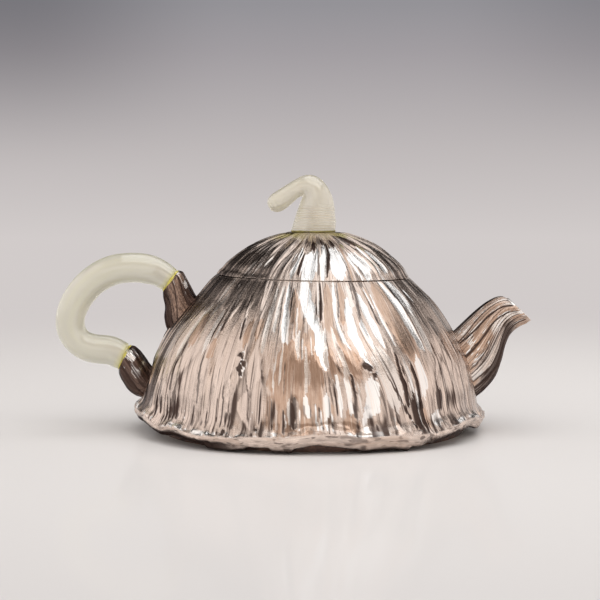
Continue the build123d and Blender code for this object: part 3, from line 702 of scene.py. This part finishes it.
def leaf_relief(angle, share, ribs, deep, seed):
    """Lengthwise ribs and fine veins for the spout and the sockets.  Gives the height in mm, how deep in a
    crease it is, a tone from -1 to 1 that belongs to its rib, and how near it is to the rib's sharp edge."""
    cell = angle / (2 * pi) - 0.5
    height, groove = np.zeros_like(angle), np.zeros_like(angle)
    sizes = [(ribs, 0.46, 0.30, 0.8, 0.9), (ribs * 2 + 5, 0.24, 0.16, 1.3, 1.5),
             (ribs * 5, 0.07, 0.05, 1.6, 3.0)]
    for count, rise, facet, wander, slow in sizes:
        fold, crease = folds(cell, share, count, rise, facet, wander, slow, seed + count)
        height = height + deep * fold
        groove = groove + (1.5 if count == ribs else 0.8) * crease
    across, number, _ = planks(cell, share, ribs, 0.8, seed + ribs)
    tone = lattice(number, share * 1.4 + 3, ribs, seed + 5)
    edge = bump(across, 0.80, 0.10) * smooth(-0.1, 0.3, noise(cell, share * 16 + 3, 90, seed + 6))
    return soften(height), np.clip(groove, 0, 1), tone, edge


def spout_leaf():
    """The spout: a fluted leaf rolled into a channel, cut to a slanting lip."""
    points, out, angle, share = bent_rings(SPOUT, *SPOUT_GRID)
    height, groove, tone, edge = leaf_relief(angle, share, 21, 1.6, 51)
    height = height * smooth(0.0, 0.06, share)
    skin = points + out * height[..., None]
    inside = points - out * (0.75 + 0.45 * smooth(0, 0.2, share))[..., None]
    lip_out = points[0] - out[0] * 0.2 + np.array([0.22, 0, 0.2])
    lip_in = points[0] - out[0] * 0.6 + np.array([0.2, 0, 0.18])
    shell = np.concatenate([sink_root(skin), sink_root(inside[::-1]), [lip_in, lip_out]])
    cell = angle / (2 * pi)
    facing = np.cos(angle) + 0.3 * noise(cell, share * 2, 9, 57)
    belly = bump(share, 0.86, 0.12) * smooth(-0.7, -0.2, facing)
    # painted shade: the spout's lower side is darkened through dark and groove, except at its belly near the
    # root
    under = smooth(0.12, -0.2, facing) * smooth(0.06, 0.22, share) * (1 - belly)
    # painted reflection of the dark room above: a thin dark line along the top edge
    above = smooth(0.965, 0.99, np.cos(angle)) * smooth(0.0, 0.1, share)
    light = smooth(-0.12, 0.25, tone)
    # painted highlights: glints near the root of the spout
    glint = smooth(0.15, 0.4, noise(cell, share * 22, 150, 58)) * bump(share, 0.68, 0.07)
    # painted reflection: the upper side is made tan and matt, standing in for the light it catches from
    # above
    crown = smooth(0.45, 0.85, np.cos(angle))
    lip = smooth(0.05, 0.0, share)
    brown = np.maximum(smooth(-0.4, 0.1, -tone) * 0.9 * (1 - under), 0.5 * crown) * (1 - edge) * (1 - glint)
    dark = 0.75 * under * (1 - 0.7 * light) + above + 0.6 * smooth(0.45, 0.7, -tone)
    # painted highlights: white along the rib edges, weaker on the lower side, and glints at the root; the
    # cut lip is white too
    bright = edge * (1 - 0.5 * under) + 0.9 * lip + 1.2 * glint * (1 - under)

    def around(value, inner):
        """A value for the whole shell, from the skin's own and one number for the inside and the lip."""
        return np.concatenate([np.clip(value, 0, 1), np.full((len(value) + 2, value.shape[1]), inner)])

    attributes = {
        "groove": around(1.1 * groove * (1 - lip) + 0.45 * under * (1 - light), 0.0),
        "tan": around(brown, 0.1),
        "dark": around(dark, 0.3),
        "white": around(bright, 0.7),
        "pale": around(light * (1 - 0.6 * under) * (1 - crown), 0.5),
        "raw": around(0.5 * crown * (1 - above) * (1 - edge), 0.0),
        "flow": np.concatenate([flow_attribute(angle, share * 2.0, 5.0)] * 2
                               + [flow_attribute(angle[:2], share[:2], 5.0)]),
    }
    return grid_mesh("spout_leaf", shell, closed_rows=True, attributes=attributes)


def socket_leaf(name, stations, lit, seed):
    """A socket that holds the glass: a solid pod with leaf veins, sunk in the body's wall.  lit is the angle
    round it, in degrees from its upper edge, where highlights are painted on; the side away from it is
    painted dark."""
    points, out, angle, share = bent_rings(stations, *SOCKET_GRID)
    height, groove, tone, edge = leaf_relief(angle, share, 10, 1.3, seed)
    height = height * smooth(0.0, 0.12, share)
    skin = sink_root(points + out * height[..., None])
    near = np.cos(angle - radians(lit))
    # painted highlights: a white streak at the lit angle and white veins on the lit side
    gloss = smooth(0.90, 1.05, near + 0.25 * noise(angle / (2 * pi), share * 6, 12, seed + 9))
    veins = 0.75 * edge * smooth(0.7, 0.1, share) * smooth(0.0, 0.7, near)
    attributes = {
        "groove": np.clip(groove + 0.4 * smooth(0.0, 0.6, -tone), 0, 1),
        # tan strokes follow each rib's own tone, but show only on the lit side as painted light
        "tan": 0.46 * smooth(0.1, 0.5, tone) * smooth(-0.6, 0.3, near),
        # painted shade on the side away from the lit angle
        "dark": smooth(0.3, -0.5, near),
        "white": np.clip(veins + 0.8 * gloss * smooth(0.7, 0.3, share), 0, 1),
        "flow": flow_attribute(angle, share * 2.0, 4.0),
    }
    return grid_mesh(name, skin, capped=True, attributes=attributes)


def glass_knob():
    """The glass stem: turned rings round its foot, then an arm that bends over with fine lines along it."""
    points, out, angle, share = bent_rings(KNOB, *KNOB_GRID)
    z = points[..., 2]
    cell = angle / (2 * pi)
    level = (z - KNOB_FOOT_Z) / RING_PITCH + 0.25 * noise(cell, z / 3, 5, 73)
    on_stem = smooth(87.5, 83.5, z) * (share < 0.45) * smooth(0, 0.02, share)
    ring = np.sin(level * 2 * pi) * on_stem
    lines = 0.05 * noise(cell, share * 4, 22, 71) * smooth(0.35, 0.5, share)
    soft = 0.12 * noise(cell, share * 7, 8, 72)
    skin = points + out * ((0.07 * ring + lines + soft) * smooth(1.0, 0.9, share))[..., None]
    tint = smooth(0.3, 1.0, -ring) * (0.55 + 0.45 * noise(cell, level, 6, 74))
    attributes = {"flow": flow_attribute(angle, share * 2.0, 5.0), "ring": tint}
    return grid_mesh("glass_knob", skin, capped=True, attributes=attributes)


def glass_handle():
    """The bent glass rod, drawn by hand, so its thickness wanders a little."""
    angle, share = ring_grid(*HANDLE_GRID)
    rows = len(share)
    path = catmull(HANDLE, rows)
    centre, radius = path[:, :2], path[:, 2:]
    ahead = np.gradient(centre, axis=0)
    ahead /= np.linalg.norm(ahead, axis=1)[:, None]
    side = np.stack([ahead[:, 1], -ahead[:, 0]], axis=1)
    wave = 0.07 * noise(angle / (2 * pi), share * 9, 5, 81)
    r = radius + wave * smooth(0, 0.05, share) * smooth(1, 0.95, share)
    end = np.minimum(share, 1 - share) * (rows - 1)
    r = r - 0.35 * smooth(2.0, 0.0, end)
    points = np.stack([centre[:, :1] + side[:, :1] * r * np.cos(angle), -r * np.sin(angle),
                       centre[:, 1:] + side[:, 1:] * r * np.cos(angle)], axis=-1)
    attributes = {"flow": flow_attribute(angle, share * 6.0, 5.0), "ring": smooth(7.0, 0.0, end)}
    return grid_mesh("glass_handle", points, capped=True, attributes=attributes)


def cement_bead(name, centre, along, radius, thickness, seed):
    """A thin uneven ring of cement squeezed out between the glass and the silver.  centre and along are the
    (x, z) of its centre and of its axis, and thickness is about half its width along that."""
    along = np.array(along, float) / np.hypot(*along)
    side = np.array([along[1], -along[0]])
    turn = np.linspace(0, 2 * pi, 96, endpoint=False)[None, :]
    loop = np.linspace(0, 2 * pi, 12, endpoint=False)[:, None]
    swell = 1.1 + 0.8 * noise(turn / (2 * pi), 0, 17, seed)
    r = radius - 1.0 + (1.0 + 0.22 * swell) * np.cos(loop)
    push = thickness * swell * np.sin(loop)
    points = np.stack([centre[0] + side[0] * r * np.cos(turn) + along[0] * push, -r * np.sin(turn),
                       centre[1] + side[1] * r * np.cos(turn) + along[1] * push], axis=-1)
    return grid_mesh(name, points, closed_rows=True)


# ---- materials ----
def new_material(name):
    """A material with its node tree and its shader."""
    material = bpy.data.materials.new(name)
    material.use_nodes = True
    tree = material.node_tree
    return material, tree, tree.nodes["Principled BSDF"]


def feed(tree, socket, value):
    """Links another socket to this one, or sets its own number, vector or (r, g, b)."""
    if isinstance(value, bpy.types.NodeSocket):
        tree.links.new(value, socket)
    else:
        socket.default_value = (*value, 1) if socket.type == "RGBA" else value


def feed_all(tree, shader, values):
    """Feeds a shader's inputs by name."""
    for key, value in values.items():
        feed(tree, shader.inputs[key], value)


def node(tree, kind, *inputs, **values):
    """A node of that kind.  Its inputs are fed in order or by name, and its properties are set by name."""
    made = tree.nodes.new(kind)
    for socket, value in zip(made.inputs, inputs):
        feed(tree, socket, value)
    for key, value in values.items():
        if key in made.inputs:
            feed(tree, made.inputs[key], value)
        else:
            setattr(made, key, value)
    return made


def carried(tree, name, output="Fac"):
    """A value that the mesh carries at each point."""
    return node(tree, "ShaderNodeAttribute", attribute_name=name).outputs[output]


def noise_at(tree, vector, scale, detail=4.0, rough=0.55):
    """A noise texture read at a vector socket."""
    made = node(tree, "ShaderNodeTexNoise", Vector=vector, Scale=scale, Detail=detail, Roughness=rough)
    return made.outputs["Fac"]


def stretch(tree, vector, scale):
    """The vector with each part multiplied."""
    return node(tree, "ShaderNodeVectorMath", vector, scale, operation="MULTIPLY").outputs[0]


def ramp(tree, value, low, high, out_low=0.0, out_high=1.0):
    """A soft step of a value from low to high."""
    ends = (low, high, out_low, out_high)
    return node(tree, "ShaderNodeMapRange", value, *ends, interpolation_type="SMOOTHSTEP").outputs[0]


def maths(tree, operation, a, b):
    """One Math node on two sockets or numbers, held between 0 and 1."""
    return node(tree, "ShaderNodeMath", a, b, operation=operation, use_clamp=True).outputs[0]


def blend_colour(tree, factor, a, b):
    """A colour mix; a and b are sockets or (r, g, b)."""
    made = node(tree, "ShaderNodeMix", factor, data_type="RGBA")
    feed(tree, made.inputs[6], a)
    feed(tree, made.inputs[7], b)
    return made.outputs[2]


def blend_number(tree, factor, a, b):
    """The same mix for two numbers."""
    made = node(tree, "ShaderNodeMix", factor, data_type="FLOAT")
    feed(tree, made.inputs[2], a)
    feed(tree, made.inputs[3], b)
    return made.outputs[0]


def ragged(tree, share, fleck, wild=0.8, soft=0.22):
    """A soft share from the mesh made crisp, its edge worn ragged by a noise."""
    mixed = node(tree, "ShaderNodeMath", fleck, wild, share, operation="MULTIPLY_ADD")
    middle = 0.5 + 0.5 * wild
    return ramp(tree, mixed.outputs[0], middle - soft, middle + soft)


def bumpy(tree, height, strength, distance):
    """A normal that follows a height."""
    made = node(tree, "ShaderNodeBump", Height=height, Strength=strength, Distance=distance)
    return made.outputs["Normal"]


WHITE_SILVER = (0.95, 0.93, 0.91)
PALE_SILVER = (0.87, 0.80, 0.745)
ROSE_SILVER = (0.78, 0.65, 0.57)
TAN_SILVER = (0.50, 0.335, 0.24)
LIGHT_TAN = (0.60, 0.43, 0.33)
GREY_PATINA_AND_SHADE = (0.25, 0.21, 0.19)
BROWN_PATINA_AND_SHADE = (0.065, 0.042, 0.035)
CEMENT_STAIN = (0.46, 0.41, 0.13)
LIT_GAIN = 1.3                # a hairline that has been polished, against the satin round it
POLISHED = 0.07               # roughness of the polished silver
GLASS_DEPTH = 0.010           # how far light spreads in the milky glass, in metres


def leaf_silver(name, satin=ROSE_SILVER, patina_and_shade=GREY_PATINA_AND_SHADE, shine=0.2):
    """Patinated silver with a grain.  The mesh says where it is polished white or carries painted
    highlights, where it is pale, tan or dark, where cement stains it and where it is raw; the rest is satin,
    and the grooves are brown.
    The dark and the grooves are patinated, with painted shade in places."""
    material, tree, shader = new_material(name)
    flow = carried(tree, "flow", "Vector")
    groove, stain, raw = (carried(tree, key) for key in ("groove", "stain", "raw"))
    fleck = noise_at(tree, stretch(tree, flow, (1.0, 1.0, 3.0)), 3.4, 4.0, 0.7)
    white, pale, brown, dark = (ragged(tree, carried(tree, key), fleck)
                                for key in ("white", "pale", "tan", "dark"))
    streak = noise_at(tree, flow, 1.1, 5.0, 0.6)
    fine = noise_at(tree, flow, 5.0, 3.0, 0.65)
    hair = noise_at(tree, stretch(tree, flow, (1.0, 1.0, 0.16)), 4.2, 2.0, 0.5)

    # the colour: finishes over the satin, then patina with painted shade in places, grooves and stains over
    # those
    colour = blend_colour(tree, ramp(tree, streak, 0.4, 0.72, 0.0, 0.4), satin, patina_and_shade)
    colour = blend_colour(tree, pale, colour, PALE_SILVER)
    colour = blend_colour(tree, white, colour, WHITE_SILVER)
    mottled = blend_colour(tree, ramp(tree, fine, 0.35, 0.65), TAN_SILVER, LIGHT_TAN)
    thin = maths(tree, "MULTIPLY", brown, ramp(tree, streak, 0.3, 0.62, 1.0, 0.75))
    colour = blend_colour(tree, thin, colour, mottled)
    lit_line = tuple(min(1.0, LIT_GAIN * part) for part in satin)
    colour = blend_colour(tree, ramp(tree, hair, 0.40, 0.33, 0.0, 0.5), colour, lit_line)
    depth = maths(tree, "MULTIPLY", dark, ramp(tree, streak, 0.25, 0.55, 0.75, 1.0))
    colour = blend_colour(tree, depth, colour, patina_and_shade)
    smoothed = maths(tree, "MAXIMUM", white, brown)
    open_share = maths(tree, "SUBTRACT", 1.0, maths(tree, "MULTIPLY", smoothed, 0.75))
    hairline = maths(tree, "MULTIPLY", ramp(tree, hair, 0.59, 0.66, 0.0, 0.7), open_share)
    darkened = maths(tree, "MAXIMUM", ramp(tree, groove, 0.12, 0.75, 0.0, 0.95), hairline)
    colour = blend_colour(tree, darkened, colour, BROWN_PATINA_AND_SHADE)
    colour = blend_colour(tree, maths(tree, "MULTIPLY", stain, 0.7), colour, CEMENT_STAIN)
    dull = maths(tree, "MAXIMUM", depth, darkened)

    # the surface: satin or polished, with a fine grain along it and ripples across it
    soft = ramp(tree, fine, 0.3, 0.7, shine, shine + 0.1)
    polish = maths(tree, "ADD", white, maths(tree, "MULTIPLY", brown, 0.7))
    rough = blend_number(tree, polish, soft, POLISHED)
    grain = noise_at(tree, stretch(tree, flow, (3.2, 3.2, 2.0)), 2.0, 4.0, 0.65)
    ripple = noise_at(tree, stretch(tree, flow, (0.7, 0.7, 16.0)), 2.2, 2.0, 0.5)
    matt = maths(tree, "SUBTRACT", 0.35, maths(tree, "MULTIPLY", smoothed, 0.3))
    surface = maths(tree, "ADD", maths(tree, "MULTIPLY", grain, 0.6), maths(tree, "MULTIPLY", ripple, matt))
    feed_all(tree, shader, {
        "Base Color": colour,
        "Specular Tint": blend_colour(tree, dull, (1.0, 1.0, 1.0), (0.36, 0.36, 0.38)),
        "Metallic": maths(tree, "SUBTRACT", 1.0, raw),
        "Roughness": maths(tree, "ADD", rough, ramp(tree, groove, 0.2, 0.8, 0.0, 0.08)),
        "Normal": bumpy(tree, surface, 0.38, 0.0004),
    })
    return material


def plain_silver(name, light, darkened):
    """Turned silver, for the pieces that stay as the CAD made them."""
    material, tree, shader = new_material(name)
    place_at = node(tree, "ShaderNodeTexCoord").outputs["Object"]
    cloud = noise_at(tree, place_at, 180.0, 4.0, 0.6)
    turned = noise_at(tree, stretch(tree, place_at, (1, 1, 12)), 400.0, 2.0, 0.5)
    feed_all(tree, shader, {
        "Base Color": blend_colour(tree, ramp(tree, cloud, 0.35, 0.7), light, darkened),
        "Metallic": 1.0,
        "Roughness": ramp(tree, turned, 0.3, 0.7, 0.22, 0.42),
    })
    return material


def milky_glass(name, core, rim, ring_tint):
    """Pale milky glass, greener towards its edges, with faint streaks and a slight painted glow that evens
    out its shading.  ring_tint shows where the mesh marks turned rings, or an end that lies in its cement."""
    material, tree, shader = new_material(name)
    streak = noise_at(tree, carried(tree, "flow", "Vector"), 0.35, 3.0, 0.5)
    facing = node(tree, "ShaderNodeLayerWeight", Blend=0.35).outputs["Facing"]
    colour = blend_colour(tree, ramp(tree, facing, 0.35, 0.95), core, rim)
    colour = blend_colour(tree, ramp(tree, streak, 0.40, 0.75, 0.0, 0.3), colour, rim)
    colour = blend_colour(tree, maths(tree, "MULTIPLY", carried(tree, "ring"), 0.6), colour, ring_tint)
    feed_all(tree, shader, {
        "Base Color": colour,
        "Subsurface Weight": 1.0,
        "Subsurface Radius": (1.0, 1.0, 0.85),
        "Subsurface Scale": GLASS_DEPTH,
        "Transmission Weight": 0.45,
        "IOR": 1.3,
        "Roughness": ramp(tree, streak, 0.3, 0.7, 0.28, 0.36),
        "Coat Weight": 1.0,
        "Coat IOR": 1.9,
        "Coat Roughness": 0.08,
        # painted glow: emission in the glass's own colour, which flattens its shading
        "Emission Color": colour,
        "Emission Strength": 0.36,
        "Normal": bumpy(tree, streak, 0.05, 0.0003),
    })
    return material


def yellow_cement(name, clear, dull):
    """Uneven translucent cement between two tones."""
    material, tree, shader = new_material(name)
    lumps = noise_at(tree, node(tree, "ShaderNodeTexCoord").outputs["Object"], 900.0, 3.0, 0.6)
    feed_all(tree, shader, {
        "Base Color": blend_colour(tree, ramp(tree, lumps, 0.35, 0.65), clear, dull),
        "Roughness": 0.35,
    })
    return material


# ---- studio ----
# Lengths from here on are metres.
FLOOR_RINGS = (0.0001, 0.1, 0.3, 0.6, 1.15)   # radii in the floor's mesh, which ends at the backdrop
FLOOR_FADE = (0.14, 0.62)                     # where the floor fades into the backdrop's tone
WALL_R, WALL_TOP = 1.9, 1.6                   # the backdrop
TONE_TOP = 0.33                               # it is darkest from this height up


def ring_mesh(name, rings, segments=96):
    """A stage surface of revolution from (radius, z) pairs in metres."""
    turn = np.linspace(0, 2 * pi, segments, endpoint=False)
    vertices = [(r * cos(a), r * sin(a), z) for r, z in rings for a in turn]
    faces = []
    for k in range(len(rings) - 1):
        for i in range(segments):
            j = (i + 1) % segments
            inner, outer = k * segments, (k + 1) * segments
            faces.append((inner + i, inner + j, outer + j, outer + i))
    mesh = bpy.data.meshes.new(name)
    mesh.from_pydata(vertices, [], faces)
    for polygon in mesh.polygons:
        polygon.use_smooth = True
    made = bpy.data.objects.new(name, mesh)
    bpy.context.scene.collection.objects.link(made)
    return made


def stage_material(name):
    """A material with nothing in it but its output."""
    material, tree, _ = new_material(name)
    tree.nodes.clear()
    return material, tree, node(tree, "ShaderNodeOutputMaterial")


def backdrop_glow(tree):
    """The backdrop's own light: pale at the floor, grey above, and darker still in the upper corners."""
    place_at = node(tree, "ShaderNodeNewGeometry").outputs["Position"]
    across, _, up = node(tree, "ShaderNodeSeparateXYZ", place_at).outputs
    height = node(tree, "ShaderNodeMapRange", up, 0.0, TONE_TOP)
    fade = node(tree, "ShaderNodeValToRGB", height.outputs[0])
    stops = fade.color_ramp.elements
    stops[0].position, stops[0].color = 0.0, (0.640, 0.600, 0.592, 1)
    stops[1].position, stops[1].color = 1.0, (0.298, 0.290, 0.312, 1)
    for at, tone in ((0.37, (0.522, 0.488, 0.488, 1)), (0.80, (0.362, 0.340, 0.358, 1))):
        stops.new(at).color = tone
    colour = fade.outputs[0]
    for edge, corner, strength in ((-0.10, -0.42, 0.40), (0.16, 0.46, 0.22)):
        sideways = ramp(tree, across, edge, corner, 0, strength)
        share = maths(tree, "MULTIPLY", sideways, ramp(tree, up, 0.08, TONE_TOP))
        colour = blend_colour(tree, share, colour, (0.03, 0.03, 0.04))
    return node(tree, "ShaderNodeEmission", colour).outputs[0]


def studio_floor():
    """A pale glossy floor that fades into the backdrop's own tone far from the pot."""
    floor = ring_mesh("floor", [(radius, 0) for radius in (*FLOOR_RINGS, WALL_R)])
    material, tree, out = stage_material("floor")
    matt = node(tree, "ShaderNodeBsdfDiffuse", Color=(0.765, 0.75, 0.742))
    gloss = node(tree, "ShaderNodeBsdfGlossy", Roughness=0.09)
    paint = node(tree, "ShaderNodeMixShader", 0.10, matt.outputs[0], gloss.outputs[0])
    place_at = node(tree, "ShaderNodeNewGeometry").outputs["Position"]
    away = node(tree, "ShaderNodeVectorMath", place_at, operation="LENGTH").outputs["Value"]
    fade = ramp(tree, away, *FLOOR_FADE)
    mixed = node(tree, "ShaderNodeMixShader", fade, paint.outputs[0], backdrop_glow(tree))
    feed(tree, out.inputs[0], mixed.outputs[0])
    floor.data.materials.append(material)


def studio_wall():
    """A round backdrop that only the camera sees, so that its light comes from the lamps and the world."""
    wall = ring_mesh("backdrop", [(WALL_R, 0), (WALL_R, 0.3), (WALL_R, WALL_TOP)])
    material, tree, out = stage_material("backdrop")
    feed(tree, out.inputs[0], backdrop_glow(tree))
    wall.data.materials.append(material)
    wall.visible_glossy = False
    wall.visible_diffuse = False
    wall.visible_shadow = False
    wall.visible_transmission = False


def softbox(name, location, target, size, power):
    """A rectangular area light aimed at a point and hidden from the camera.  size is its width and depth."""
    lamp = bpy.data.lights.new(name, "AREA")
    lamp.shape = "RECTANGLE"
    lamp.size, lamp.size_y = size
    lamp.energy = power
    made = bpy.data.objects.new(name, lamp)
    made.location = location
    made.rotation_euler = (Vector(target) - Vector(location)).to_track_quat("-Z", "Y").to_euler()
    made.visible_camera = False
    bpy.context.scene.collection.objects.link(made)
    return made


def studio_world():
    """The room that the silver reflects: dark above, pale to the sides, a bright strip low in front under a
    dim warm one, and a grey back."""
    world = bpy.data.worlds.new("studio")
    world.use_nodes = True
    tree = world.node_tree
    direction = node(tree, "ShaderNodeTexCoord").outputs["Generated"]
    x, y, z = node(tree, "ShaderNodeSeparateXYZ", direction).outputs

    def part(across, edge, full, top, low):
        """The share of a direction that turns to one side, from edge to full, and stays under top."""
        return maths(tree, "MULTIPLY", ramp(tree, across, edge, full), ramp(tree, z, top, low))

    behind_handle = maths(tree, "MULTIPLY", part(x, -0.42, -0.56, 0.93, 0.86), ramp(tree, y, 0.22, 0.05))
    zones = [(part(y, -0.15, -0.45, 0.90, 0.80), (0.58, 0.49, 0.43)),
             (part(y, -0.1, -0.5, 0.50, 0.30), (1.10, 1.03, 0.98)),
             (part(y, 0.2, 0.6, 0.30, 0.12), (0.66, 0.64, 0.63)),
             (behind_handle, (1.0, 0.93, 0.88)),
             (part(x, 0.45, 0.8, 0.66, 0.45), (0.98, 0.91, 0.87)),
             (part(x, -0.50, -0.72, 0.70, 0.56), (1.04, 0.98, 0.95))]
    colour = (0.045, 0.04, 0.038)
    for share, tone in zones:
        colour = blend_colour(tree, share, colour, tone)
    feed(tree, tree.nodes["Background"].inputs["Color"], colour)
    bpy.context.scene.world = world


def camera():
    """A long lens about a hand's width above the floor, looking slightly down at the pot."""
    far, high = 0.684, 0.100
    down, left = radians(4.23), radians(0.414)
    data = bpy.data.cameras.new("camera")
    data.sensor_width = 36.0
    data.lens = 108.0
    made = bpy.data.objects.new("camera", data)
    made.location = (0, -far, high)
    aim = Vector((-far * tan(left), 0, high - far * tan(down)))
    made.rotation_euler = (aim - made.location).to_track_quat("-Z", "Y").to_euler()
    bpy.context.scene.collection.objects.link(made)
    bpy.context.scene.camera = made


# ---- build ----
def main():
    """Makes the materials, the pieces in millimetres and the studio."""
    leaf = leaf_silver("leaf_silver")
    dark_leaf = leaf_silver("dark_silver", (0.165, 0.112, 0.092), (0.085, 0.058, 0.05), shine=0.08)
    turned_silver = plain_silver("plain_silver", (0.72, 0.66, 0.60), (0.42, 0.35, 0.30))
    # the foot ring is painted near black-brown so that the space under the hem reads as painted shadow
    foot_silver_painted_shadow = plain_silver("foot_silver_painted_shadow", (0.17, 0.10, 0.075), (0.07, 0.05, 0.045))
    handle_glass = milky_glass("handle_glass", (0.49, 0.47, 0.405), (0.555, 0.54, 0.38), (0.54, 0.49, 0.16))
    knob_glass = milky_glass("knob_glass", (0.49, 0.46, 0.395), (0.545, 0.51, 0.375), (0.50, 0.40, 0.27))
    cement = yellow_cement("yellow_cement", (0.74, 0.68, 0.16), (0.52, 0.43, 0.08))
    olive_cement = yellow_cement("olive_cement", (0.42, 0.38, 0.11), (0.20, 0.17, 0.05))

    place(body_wall(), "pot", "patinated_silver", leaf, "body_shell")
    place(spout_leaf(), "pot", "patinated_silver", leaf, "spout")
    upper_socket = socket_leaf("handle_socket_upper", UPPER_SOCKET, 25, 61)
    place(upper_socket, "pot", "dark_silver", dark_leaf, "upper_socket")
    lower_socket = socket_leaf("handle_socket_lower", LOWER_SOCKET, 62, 65)
    place(lower_socket, "pot", "dark_silver", dark_leaf, "lower_socket")
    place(glass_handle(), "pot", "pale_glass", handle_glass, "handle_grip")
    place(lid_dome(), "lid", "patinated_silver", leaf, "lid_shell")
    place(glass_knob(), "lid", "pale_glass", knob_glass, "lid_knob")
    upper_bead = cement_bead("cement_upper", (-54.1, 56.6), (0.81, -0.59), 4.75, CEMENT_T, 91)
    place(upper_bead, "pot", "yellow_cement", cement, "upper_cement")
    lower_bead = cement_bead("cement_lower", (-71.9, 27.5), (0.88, -0.47), 5.1, CEMENT_T, 92)
    place(lower_bead, "pot", "yellow_cement", cement, "lower_cement")
    knob_bead = cement_bead("cement_knob", (0.0, 75.75), (0.001, 1), 8.2, KNOB_CEMENT_T, 93)
    place(knob_bead, "lid", "yellow_cement", olive_cement, "knob_cement")
    for name in ("mouth_collar", "base_plate", "foot_ring", "spout_strainer", "upper_peg", "lower_peg",
                 "lid_flange", "knob_stud", "knob_washer", "knob_nut"):
        metal = foot_silver_painted_shadow if name == "foot_ring" else turned_silver
        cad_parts[name].data.materials.clear()
        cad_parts[name].data.materials.append(metal)

    studio_floor()
    studio_wall()
    studio_world()
    # the lamps: where, aimed at, size in metres and power in watts
    softbox("overhead", (0.36, -0.11, 1.0), (0.36, -0.11, 0), size=(1.22, 1.42), power=6.4)
    fill = softbox("fill", (0.0, -0.3, 1.4), (0, 0, 0), size=(2.4, 2.4), power=12.5)
    fill.visible_glossy = False       # it lights the pot but isn't mirrored in it
    camera()
    bpy.context.scene.view_settings.view_transform = "Standard"


main()
